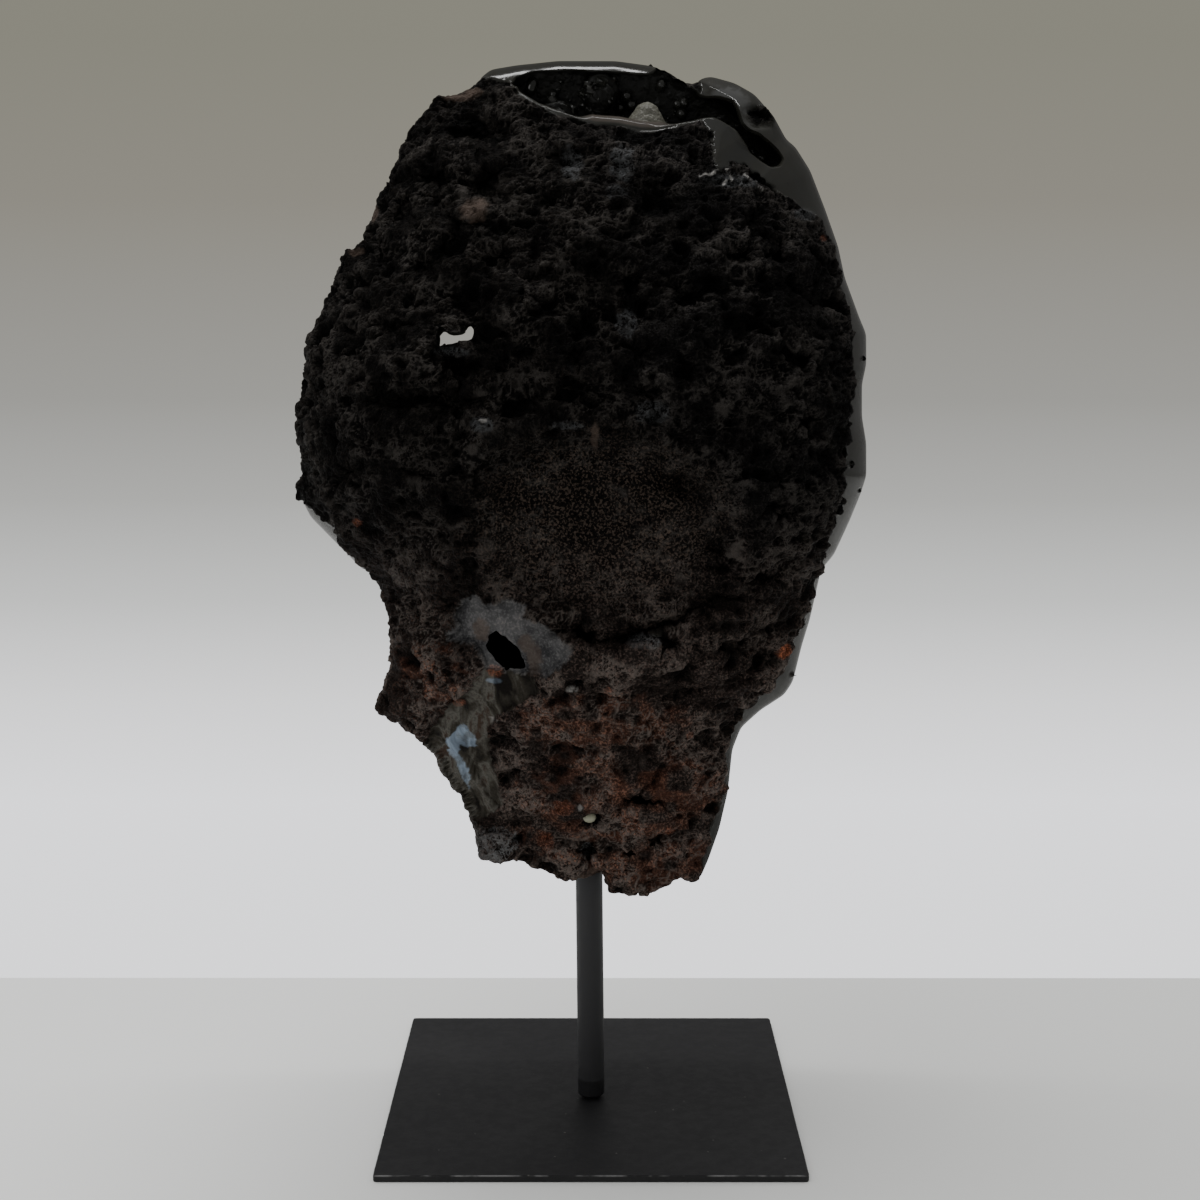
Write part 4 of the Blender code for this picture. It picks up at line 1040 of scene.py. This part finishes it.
def make_hole_wall(name, edge, places, line, finish, rows, cap_rows=()):
    """The wall of a hole through the crust, painted near-black past its mouth as shade; cap rows, as shares
    of the way to the middle, close its end as a dark pocket where there is only shade.
    """
    out = at_index(outwards(line), places)
    out /= np.linalg.norm(out, axis=1)[:, None]
    inner = hollow_y(edge[:, 0], edge[:, 2], False)
    points = swept_lip(edge, out, inner, rows)
    end = points[:, -1]
    middle = end.mean(0) + (0, POCKET_DEPTH, 0)
    cap = [end + share ** np.array((1, 0.5, 1)) * (middle - end) for share in cap_rows]
    points = np.concatenate([points, *(ring[:, None] for ring in cap)], 1)
    shape = points.shape[:2]
    points = points.reshape(-1, 3)
    inside = np.tile(np.linspace(0, 1, shape[1]), shape[0])
    # Painted shade: the wall turns near-black a tenth of the way in, and the closed pocket stands for the
    # shade inside the hole.
    values = plain_values(len(points), sunk=smooth_step(inside / 0.1))
    mesh_piece(name, points, grid_quads(*shape, closed=True), finish, values)


class Tree:
    """Adds nodes to one node tree; each method gives the new node's output."""

    def __init__(self, tree):
        self.tree = tree

    def add(self, kind, values=None, **settings):
        made = self.tree.nodes.new("ShaderNode" + kind)
        for name, value in settings.items():
            setattr(made, name, value)
        for name, value in (values or {}).items():
            self.put(made.inputs[name], value)
        return made

    def put(self, socket, value):
        if isinstance(value, bpy.types.NodeSocket):
            self.tree.links.new(value, socket)
        else:
            socket.default_value = value

    def place(self):
        return self.add("TexCoord").outputs["Object"]

    def attribute(self, name):
        return self.add("Attribute", attribute_name=name).outputs["Fac"]

    def stretched(self, vector, scale):
        return self.add("Mapping", {"Vector": vector, "Scale": scale}).outputs["Vector"]

    def noise(self, vector, size, detail=3.0, roughness=0.55, distortion=0.0):
        values = {"Vector": vector, "Scale": 1 / size, "Detail": detail, "Roughness": roughness}
        values["Distortion"] = distortion
        return self.add("TexNoise", values).outputs["Fac"]

    def cells(self, vector, size):
        return self.add("TexVoronoi", {"Vector": vector, "Scale": 1 / size}).outputs["Distance"]

    def axes(self, vector):
        return self.add("SeparateXYZ", {"Vector": vector}).outputs

    def math(self, operation, first, second=0.5, third=None):
        made = self.add("Math", operation=operation)
        for socket, value in zip(made.inputs, (first, second, third)):
            if value is not None:
                self.put(socket, value)
        return made.outputs[0]

    def times(self, first, second):
        return self.math("MULTIPLY", first, second)

    def times_plus(self, first, second, third):
        return self.math("MULTIPLY_ADD", first, second, third)

    def most(self, first, second):
        return self.math("MAXIMUM", first, second)

    def step(self, value, low, high, to_low=0.0, to_high=1.0):
        values = {"Value": value, "From Min": low, "From Max": high, "To Min": to_low, "To Max": to_high}
        return self.add("MapRange", values, interpolation_type="SMOOTHSTEP").outputs["Result"]

    def mix(self, share, first, second):
        made = self.add("Mix", data_type="RGBA")
        for socket, value in zip((made.inputs[0], made.inputs[6], made.inputs[7]), (share, first, second)):
            self.put(socket, (*value, 1) if isinstance(value, tuple) else value)
        return made.outputs[2]

    def ramp(self, value, stops):
        """Colours along a value, from (place, colour) stops."""
        made = self.add("ValToRGB", {"Fac": value})
        elements = made.color_ramp.elements
        while len(elements) < len(stops):
            elements.new(0.5)
        for element, (place, colour) in zip(elements, stops):
            element.position = place
            element.color = (*colour, 1)
        return made.outputs["Color"]

    def bump(self, height, depth):
        return self.add("Bump", {"Height": height, "Distance": depth}).outputs["Normal"]

    def group(self, made, values):
        node = self.tree.nodes.new("ShaderNodeGroup")
        node.node_tree = made
        for name, value in values.items():
            self.put(node.inputs[name], value)
        return node.outputs


def new_group(name, inputs, outputs, fill):
    """A node group; fill gets its tree and input sockets, and gives its outputs in order."""
    made = bpy.data.node_groups.new(name, "ShaderNodeTree")
    for label, value in inputs.items():
        kind = "NodeSocketVector" if value is None else "NodeSocketFloat"
        socket = made.interface.new_socket(label, in_out="INPUT", socket_type=kind)
        if value is not None:
            socket.default_value = value
    for label, kind in outputs.items():
        made.interface.new_socket(label, in_out="OUTPUT", socket_type="NodeSocket" + kind)
    tree = Tree(made)
    entry, leave = made.nodes.new("NodeGroupInput"), made.nodes.new("NodeGroupOutput")
    for socket, value in zip(leave.inputs, fill(tree, *entry.outputs[: len(inputs)])):
        tree.put(socket, value)
    return made


def scaled_place(tree, vector, size):
    scaled = tree.add("VectorMath", operation="SCALE")
    tree.put(scaled.inputs[0], vector)
    tree.put(scaled.inputs["Scale"], tree.math("DIVIDE", 1.0, size))
    return scaled.outputs[0]


def fill_grit(tree, vector, size):
    """Grains of a size: sharp light grains, thin wandering threads, a soft mottling and a height."""
    place = scaled_place(tree, vector, size)
    fine = tree.noise(place, 1.0, 2.0, 0.6)
    winding = tree.noise(place, 2.4, 3.0, 0.6)
    thread = tree.step(tree.math("ABSOLUTE", tree.math("SUBTRACT", winding, 0.5)), 0.032, 0.006)
    mottle = tree.noise(place, 6.0, 4.0, 0.6)
    height = tree.math("ADD", fine, tree.times(tree.cells(place, 1.0), -0.5))
    return tree.step(fine, 0.47, 0.64), thread, mottle, height


def fill_dust(tree, vector, size):
    """Sparse specks of dust and a faint film between them."""
    place = scaled_place(tree, vector, size)
    gaps = tree.cells(place, 1.0)
    film = tree.noise(place, 12.0, 4.0, 0.6)
    return tree.step(gaps, 0.06, 0.02), tree.step(film, 0.4, 0.75)


def fill_bands(tree, vector, band):
    """Agate banding: a wandering value along which grey, blue, white and brown lines follow each other."""
    drift = tree.noise(vector, 0.045, 3.0, 0.5)
    ripple = tree.noise(vector, 0.006, 2.0, 0.5)
    value = tree.math("ADD", band, tree.times_plus(drift, 0.22, -0.11))
    value = tree.math("ADD", value, tree.times_plus(ripple, 0.014, -0.007))
    lines = tree.math("SINE", tree.times(value, 130.0))
    fine = tree.math("SINE", tree.times(value, 410.0))
    shade = tree.times_plus(lines, 0.5, tree.times(fine, 0.3))
    return value, tree.times_plus(shade, 0.5, 0.5)


def make_groups():
    grit = {"Grain": "Float", "Thread": "Float", "Mottle": "Float", "Height": "Float"}
    return {
        "grit": new_group("grit", {"Place": None, "Size": 0.001}, grit, fill_grit),
        "dust": new_group(
            "dust", {"Place": None, "Size": 0.01}, {"Speck": "Float", "Film": "Float"}, fill_dust
        ),
        "bands": new_group(
            "agate_bands", {"Place": None, "Band": 0.0}, {"Value": "Float", "Lines": "Float"}, fill_bands
        ),
    }


def new_finish(name, **shader_values):
    """A material with one Principled BSDF whose plain values are set on its own sockets."""
    finish = bpy.data.materials.new(name)
    finish.use_nodes = True
    shader = finish.node_tree.nodes["Principled BSDF"]
    for label, value in shader_values.items():
        shader.inputs[label.replace("_", " ")].default_value = value
    return finish, Tree(finish.node_tree), shader.inputs


def crust_colour(tree, groups, place, read):
    """Near-black rock with lighter grains and threads on its crests, which are partly its own and partly
    painted highlight, darkened in hollows as painted shade, paler and browner towards the foot, with the
    patches laid over it."""
    grit = tree.group(groups["grit"], {"Place": place, "Size": 0.0011})
    coarse = tree.group(groups["grit"], {"Place": place, "Size": 0.0036})
    axes = tree.axes(place)
    wide = tree.times_plus(tree.noise(place, 0.05, 3.0, 0.5), 0.2, axes["X"])
    wide = tree.step(wide, 0.07, 0.15)
    low = tree.step(axes["Z"], 0.30, 0.19)
    # Painted shade: hollows lose their light grains and threads by how sunk they are.
    unshaded = tree.times_plus(read["sunk"], -0.92, 1.0)
    # Partly painted highlight: light grains gather on crests, where light catches them.
    strewn = tree.times_plus(read["crest"], 0.75, 0.25)
    strewn = tree.times(strewn, tree.step(coarse["Mottle"], 0.36, 0.62, 0.4, 1.0))
    strewn = tree.most(strewn, tree.times(read["dish"], 0.6))
    left = tree.step(axes["X"], -0.03, -0.07)
    grains = tree.mix(wide, (0.0135, 0.0108, 0.0088), (0.0210, 0.0190, 0.0185))
    grains = tree.mix(read["dish"], grains, (0.108, 0.080, 0.063))
    grains = tree.mix(low, grains, tree.mix(left, (0.156, 0.108, 0.090), (0.078, 0.042, 0.031)))
    grains = tree.mix(read["red"], grains, (0.330, 0.150, 0.095))
    ground = tree.mix(low, (0.0018, 0.0015, 0.0014), (0.0120, 0.0088, 0.0076))
    ground = tree.mix(read["red"], ground, (0.050, 0.0220, 0.0150))
    # Painted shade: the ground goes near-black in hollows.
    ground = tree.mix(read["sunk"], ground, (0.0012, 0.0011, 0.0010))
    amount = tree.times(tree.times(grit["Grain"], strewn), unshaded)
    colour = tree.mix(amount, ground, grains)
    # Light threads on ridges and crests: partly the rock's own, partly painted highlight along lit crests.
    wisps = tree.most(grit["Thread"], coarse["Thread"])
    threads = tree.most(tree.times(wisps, read["crest"]), read["thread"])
    threads = tree.times(threads, tree.step(coarse["Mottle"], 0.42, 0.58, 0.05, 0.75))
    strand = tree.mix(low, (0.048, 0.043, 0.039), (0.16, 0.132, 0.116))
    colour = tree.mix(tree.times(threads, unshaded), colour, strand)
    skin = tree.mix(grit["Mottle"], (0.018, 0.019, 0.020), (0.078, 0.080, 0.082))
    skin = tree.mix(tree.times(low, 0.7), skin, (0.190, 0.190, 0.190))
    laid = tree.most(tree.most(wisps, read["thread"]), tree.times(grit["Grain"], 0.35))
    patchy = tree.step(coarse["Mottle"], 0.36, 0.56, 0.2, 1.0)
    laid = tree.times(tree.times(read["skin"], laid), patchy)
    colour = tree.mix(laid, colour, skin)
    cloudy = tree.times_plus(coarse["Mottle"], 0.5, tree.times(grit["Mottle"], 0.4))
    cloudy = tree.times_plus(grit["Grain"], 0.10, cloudy)
    slate = tree.ramp(cloudy, [
        (0.34, (0.026, 0.026, 0.028)), (0.46, (0.073, 0.072, 0.073)), (0.56, (0.115, 0.112, 0.112)),
        (0.66, (0.190, 0.163, 0.148)),
    ])
    colour = tree.mix(read["slate"], colour, slate)
    streaks = tree.noise(tree.stretched(place, (1.0, 1.0, 0.45)), 0.009, 3.0, 0.55, 0.8)
    olive = tree.ramp(streaks, [
        (0.36, (0.007, 0.006, 0.005)), (0.47, (0.036, 0.032, 0.025)), (0.57, (0.092, 0.088, 0.077)),
        (0.66, (0.044, 0.030, 0.022)),
    ])
    olive = tree.mix(tree.times(grit["Grain"], 0.35), olive, (0.012, 0.010, 0.008))
    colour = tree.mix(read["olive"], colour, olive)
    blue = tree.mix(tree.step(streaks, 0.35, 0.65), (0.095, 0.120, 0.155), (0.240, 0.300, 0.370))
    laid = tree.times(read["blue"], tree.step(grit["Mottle"], 0.38, 0.55, 0.45, 0.95))
    colour = tree.mix(laid, colour, blue)
    tan = tree.mix(grit["Mottle"], (0.030, 0.022, 0.018), (0.135, 0.100, 0.080))
    colour = tree.mix(tree.times(read["tan"], 0.6), colour, tan)
    white = tree.mix(grit["Mottle"], (0.10, 0.098, 0.095), (0.40, 0.385, 0.365))
    return tree.mix(tree.times(read["white"], 0.8), colour, white), grit, coarse


def polished_colour(tree, groups, place, read):
    """Banded grey-green agate, clouded and freckled."""
    bands = tree.group(groups["bands"], {"Place": place, "Band": read["band"]})
    ground = tree.ramp(bands["Value"], [
        (0.0, (0.012, 0.012, 0.0095)), (0.10, (0.015, 0.015, 0.0125)), (0.20, (0.015, 0.016, 0.0165)),
        (0.32, (0.085, 0.098, 0.108)), (0.42, (0.042, 0.050, 0.060)), (0.52, (0.19, 0.205, 0.215)),
        (0.60, (0.066, 0.074, 0.086)), (0.72, (0.13, 0.135, 0.14)), (0.80, (0.075, 0.055, 0.042)),
        (0.88, (0.33, 0.32, 0.30)), (0.95, (0.15, 0.147, 0.138)),
    ])
    shown = tree.times(bands["Lines"], tree.step(read["band"], 0.1, 0.3, 0.02, 0.28))
    lined = tree.mix(shown, ground, (0.13, 0.138, 0.14))
    clouds = tree.step(tree.noise(place, 0.012, 4.0, 0.6), 0.35, 0.75)
    smoke = tree.mix(tree.step(read["band"], 0.1, 0.3), (0.024, 0.022, 0.017), (0.030, 0.031, 0.028))
    colour = tree.mix(tree.times(clouds, 0.45), lined, smoke)
    freckle = tree.step(tree.noise(place, 0.0022, 2.0, 0.5), 0.66, 0.74)
    colour = tree.mix(tree.times(freckle, 0.6), colour, (0.010, 0.010, 0.009))
    colour = tree.mix(tree.times(read["tan"], 0.8), colour, (0.052, 0.043, 0.036))
    colour = tree.mix(tree.times(read["skin"], 0.7), colour, (0.052, 0.053, 0.052))
    return colour, clouds


def stone_finish(groups):
    """Near-black vesicular basalt, and glossy agate where the polish value is high."""
    finish, tree, shader = new_finish(
        "basalt and agate", IOR=1.54, Specular_IOR_Level=0.04, Coat_IOR=1.54, Coat_Roughness=0.07
    )
    place = tree.place()
    read = {name: tree.attribute(name) for name in READ}
    crust, grit, coarse = crust_colour(tree, groups, place, read)
    agate, clouds = polished_colour(tree, groups, place, read)
    rusty = tree.mix(grit["Grain"], (0.120, 0.040, 0.021), (0.420, 0.135, 0.068))
    colour = tree.mix(read["rust"], tree.mix(read["polish"], crust, agate), rusty)
    tree.put(shader["Base Color"], colour)
    tree.put(shader["Coat Weight"], tree.times(tree.math("POWER", read["polish"], 3.0), 0.45))
    tree.put(shader["Roughness"], tree.step(clouds, 0.0, 1.0, 0.55, 0.75))
    smooth = tree.most(read["slate"], tree.most(read["olive"], read["blue"]))
    keep = tree.math("SUBTRACT", 1.0, tree.most(read["polish"], tree.times(smooth, 0.75)))
    relief_height = tree.times(tree.math("ADD", grit["Height"], coarse["Height"]), keep)
    tree.put(shader["Normal"], tree.bump(relief_height, 0.0009))
    return finish


def painted_shade_top(tree, place):
    """1 near the window at the top, where the quartz is painted near-black as the hollow's shade."""
    return tree.step(tree.axes(place)["Z"], 0.425, 0.452, 0.0, 0.95)


def druse_finish(groups):
    """Greenish-grey quartz, cloudy at the root of the crystals, and painted near-black near the window at
    the top as the hollow's shade.
    """
    finish, tree, shader = new_finish("druse", IOR=1.54, Roughness=0.35, Specular_IOR_Level=0.15)
    place = tree.place()
    grit = tree.group(groups["grit"], {"Place": place, "Size": 0.0018})
    wide = tree.step(tree.noise(place, 0.03, 3.0, 0.5), 0.35, 0.7)
    colour = tree.mix(wide, (0.060, 0.063, 0.052), (0.150, 0.150, 0.132))
    colour = tree.mix(tree.times(grit["Mottle"], 0.5), colour, (0.020, 0.020, 0.016))
    # Painted shade: near-black near the window at the top, where the hollow lies in shade.
    colour = tree.mix(painted_shade_top(tree, place), colour, (0.0022, 0.0022, 0.0017))
    tree.put(shader["Base Color"], colour)
    tree.put(shader["Normal"], tree.bump(grit["Height"], 0.0004))
    return finish


def crystal_finish():
    """Quartz that lets light in; the tips are clearer than the wide cloudy places."""
    finish, tree, shader = new_finish(
        "quartz", IOR=1.544, Roughness=0.12, Transmission_Weight=0.3, Specular_IOR_Level=0.35
    )
    place = tree.place()
    wide = tree.step(tree.noise(place, 0.025, 3.0, 0.5), 0.35, 0.7)
    fine = tree.noise(place, 0.002, 2.0, 0.5)
    colour = tree.mix(wide, (0.190, 0.198, 0.170), (0.420, 0.420, 0.385))
    colour = tree.mix(tree.times(fine, 0.4), colour, (0.100, 0.096, 0.078))
    # Painted shade: near-black near the window at the top, where the hollow lies in shade.
    tree.put(shader["Base Color"], tree.mix(painted_shade_top(tree, place), colour, (0.007, 0.007, 0.0055)))
    return finish


def mottled_finish(groups, name, size, low, high, depth, grain=None, **shader_values):
    """A finish whose colour runs from low to high in the mottling of one grit, with grains over that."""
    finish, tree, shader = new_finish(name, **shader_values)
    grit = tree.group(groups["grit"], {"Place": tree.place(), "Size": size})
    colour = tree.mix(grit["Mottle"], low, high)
    if grain:
        colour = tree.mix(tree.times(grit["Grain"], 0.3), colour, grain)
    tree.put(shader["Base Color"], colour)
    tree.put(shader["Normal"], tree.bump(grit["Height"], depth))
    return finish


def painted_steel(groups, name, edges):
    """Satin charcoal paint: faint orange peel, dust, scratches, and bare metal on the plate's edges."""
    finish, tree, shader = new_finish(name, IOR=1.5, Specular_IOR_Level=0.33)
    place = tree.place()
    dust = tree.group(groups["dust"], {"Place": place, "Size": 0.011})
    grit = tree.group(groups["grit"], {"Place": place, "Size": 0.0009})
    low, high = PLATE_PAINT if edges else ROD_PAINT
    colour = tree.mix(grit["Mottle"], low, high)
    colour = tree.mix(tree.times(dust["Film"], 0.25), colour, (0.030, 0.030, 0.031))
    streak = tree.noise(tree.stretched(place, (1, 1, 0.05)), 0.0007, 2.0, 0.5)
    scratch = tree.step(streak, 0.80, 0.84)
    colour = tree.mix(tree.times(scratch, 0.25), colour, (0.10, 0.10, 0.10))
    colour = tree.mix(tree.times(dust["Speck"], 0.3), colour, (0.30, 0.29, 0.27))
    rough = tree.step(grit["Mottle"], 0.3, 0.7, 0.50, 0.60)
    if edges:
        axes = tree.axes(place)
        half = PLATE_SIDE / 2
        sides = [
            tree.step(tree.math("ABSOLUTE", axes[k]), half - 0.5 * MM, half - 0.1 * MM) for k in (0, 1)
        ]
        rim = tree.most(*sides)
        upper = tree.step(axes[2], 2.3 * MM, 3.0 * MM)
        patchy = tree.step(tree.noise(place, 0.012, 3.0, 0.6), 0.42, 0.62)
        worn = tree.times(tree.times(rim, upper), patchy)
        colour = tree.mix(tree.times(worn, 0.6), colour, (0.30, 0.30, 0.30))
    else:
        low = tree.axes(place)["Z"]
        band = tree.step(low, 13.5 * MM, 12.5 * MM)
        colour = tree.mix(tree.times(band, 0.6), colour, (0.008, 0.008, 0.009))
        rough = tree.times_plus(band, -0.2, rough)
    tree.put(shader["Base Color"], colour)
    tree.put(shader["Roughness"], rough)
    tree.put(shader["Normal"], tree.bump(grit["Height"], 0.00004))
    return finish


def other_finishes(groups):
    """Dull cream quartz with darker grains, zinc-plated steel, and olive clear glue with a cloudy heart."""
    cream = mottled_finish(
        groups, "cream quartz", 0.0016, (0.045, 0.044, 0.034), (0.135, 0.132, 0.105), 0.0006,
        (0.06, 0.056, 0.042), IOR=1.54, Roughness=0.45,
    )
    zinc = mottled_finish(
        groups, "zinc steel", 0.0006, (0.36, 0.36, 0.35), (0.60, 0.60, 0.58), 0.00003,
        Metallic=1.0, Roughness=0.35,
    )
    adhesive = mottled_finish(
        groups, "adhesive", 0.0012, (0.30, 0.30, 0.20), (0.62, 0.62, 0.48), 0.0001,
        IOR=1.48, Roughness=0.12, Transmission_Weight=0.35,
    )
    return cream, zinc, adhesive


def dress_node(name, finish):
    """Puts the finish on a CAD node, whose own shape is right."""
    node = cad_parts[name]
    node.data.materials.clear()
    node.data.materials.append(finish)


def stage_piece(name, points, finish):
    mesh = bpy.data.meshes.new(name)
    mesh.from_pydata(points, [], [(0, 1, 2, 3)])
    mesh.materials.append(finish)
    made = bpy.data.objects.new(name, mesh)
    bpy.context.scene.collection.objects.link(made)


def make_stage():
    """Pale floor, lighter on the left as painted light, and a pale wall that only the camera in front of it
    sees, glowing with painted light that is bright near the floor and darker upwards.
    """
    floor_finish, tree, shader = new_finish("pale floor", Roughness=0.55, Specular_IOR_Level=0.3)
    place = tree.place()
    # Painted light: the floor is lighter on the left, where more light falls, with noise over that.
    across = tree.step(tree.axes(place)["X"], -0.3, 0.3)
    across = tree.times_plus(tree.noise(place, 0.3, 2.0, 0.5), 0.3, across)
    tree.put(shader["Base Color"], tree.mix(across, (0.87, 0.875, 0.865), (0.70, 0.705, 0.69)))
    reach = FLOOR_REACH
    floor = [(-reach, -reach, 0), (reach, -reach, 0), (reach, reach, 0), (-reach, reach, 0)]
    stage_piece("floor", floor, floor_finish)

    wall_finish = bpy.data.materials.new("pale wall")
    wall_finish.use_nodes = True
    wall_finish.node_tree.nodes.clear()
    tree = Tree(wall_finish.node_tree)
    # Painted light: the wall glows, bright near the floor and darker upwards.
    height = tree.axes(tree.place())["Z"]
    shade = tree.ramp(tree.math("DIVIDE", height, 0.6), [
        (0.028, (1.54, 1.55, 1.60)), (0.174, (1.60, 1.61, 1.68)), (0.270, (1.27, 1.27, 1.29)),
        (0.364, (0.81, 0.82, 0.81)), (0.457, (0.53, 0.53, 0.51)), (0.549, (0.385, 0.380, 0.355)),
        (0.728, (0.295, 0.280, 0.240)), (0.868, (0.265, 0.258, 0.210)),
    ])
    glow = tree.add("Emission", {"Color": shade, "Strength": 1.0})
    clear = tree.add("BsdfTransparent")
    seen = tree.math(
        "MULTIPLY",
        tree.add("LightPath").outputs["Is Camera Ray"],
        tree.math("SUBTRACT", 1.0, tree.add("NewGeometry").outputs["Backfacing"]),
    )
    both = tree.add("MixShader", {0: seen, 1: clear.outputs[0], 2: glow.outputs[0]})
    tree.put(tree.add("OutputMaterial").inputs["Surface"], both.outputs[0])
    corners = ((-reach, 0), (reach, 0), (reach, WALL_TOP), (-reach, WALL_TOP))
    wall = [(side, WALL_PLACE, level) for side, level in corners]
    stage_piece("wall", wall, wall_finish)


def make_light(name, place, target, size, power, mirrored):
    """An area light; one that isn't mirrored leaves no highlight in the polish."""
    light = bpy.data.lights.new(name, "AREA")
    light.shape = "RECTANGLE"
    light.size, light.size_y = size
    light.energy = power
    made = bpy.data.objects.new(name, light)
    made.location = place
    made.visible_glossy = mirrored
    made.rotation_mode = "QUATERNION"
    made.rotation_quaternion = (Vector(target) - Vector(place)).to_track_quat("-Z", "Y")
    bpy.context.scene.collection.objects.link(made)


def make_lights():
    world = bpy.data.worlds.new("studio")
    world.use_nodes = True
    background = world.node_tree.nodes["Background"]
    background.inputs["Color"].default_value = (1.0, 0.99, 0.97, 1)
    background.inputs["Strength"].default_value = 0.3
    bpy.context.scene.world = world
    for light in LIGHTS:
        make_light(*light)


def make_camera():
    """At the photograph's angle: eight degrees down, from 0.88 m in front of the origin."""
    level = math.cos(CAMERA_DOWN)
    ahead = (math.sin(CAMERA_RIGHT) * level, math.cos(CAMERA_RIGHT) * level, -math.sin(CAMERA_DOWN))
    forward = Vector(ahead)
    camera = bpy.data.cameras.new("camera")
    camera.sensor_width = CAMERA_FILM
    camera.lens = CAMERA_LENS
    made = bpy.data.objects.new("camera", camera)
    made.location = CAMERA_PLACE
    made.rotation_mode = "QUATERNION"
    made.rotation_quaternion = forward.to_track_quat("-Z", "Y") @ Quaternion((0, 0, 1), CAMERA_ROLL)
    bpy.context.scene.collection.objects.link(made)
    bpy.context.scene.camera = made


def make_stone(stone):
    silhouette, loops, bay = stone_lines()
    crust_edge, *hole_edges = make_crust(silhouette, loops, stone)
    points, places = crust_edge
    on_side = places <= bay
    around = np.r_[0, places[on_side], np.arange(bay, len(silhouette))]
    around = np.unique(np.round(around, 6))
    rim, rim_band = make_sides(silhouette, around, stone)
    make_sawn_face(rim, rim_band, stone)
    line = np.vstack([loops[0][bay:], loops[0][:1]])
    rim_ends = (NEAR_RIM[0], NEAR_RIM[-2])
    first, last = (int(((line - metres(spot)) ** 2).sum(1).argmin()) for spot in rim_ends)
    in_bay = places >= bay

    def far_part(index):
        return 1 - smooth_step((index - first + 12) / 24) * smooth_step((last + 6 - index) / 12)

    make_window_rim(points[in_bay], places[in_bay] - bay, line, far_part, stone)
    for (name, *rows), edge, loop in zip(HOLE_WALLS, hole_edges, loops[1:]):
        make_hole_wall(name, *edge, loop, stone, *rows)


def main():
    make_camera()
    make_lights()
    make_stage()
    groups = make_groups()
    make_stone(stone_finish(groups))
    druse = druse_finish(groups)
    cream, zinc, adhesive = other_finishes(groups)
    make_crystals([*make_druse(druse), make_stalactites(druse)], crystal_finish())
    make_cream_cone(cream)
    dress_node("base_plate", painted_steel(groups, "plate paint", True))
    dress_node("rod", painted_steel(groups, "rod paint", False))
    dress_node("base_screw", zinc)
    dress_node("adhesive_bead", adhesive)


main()
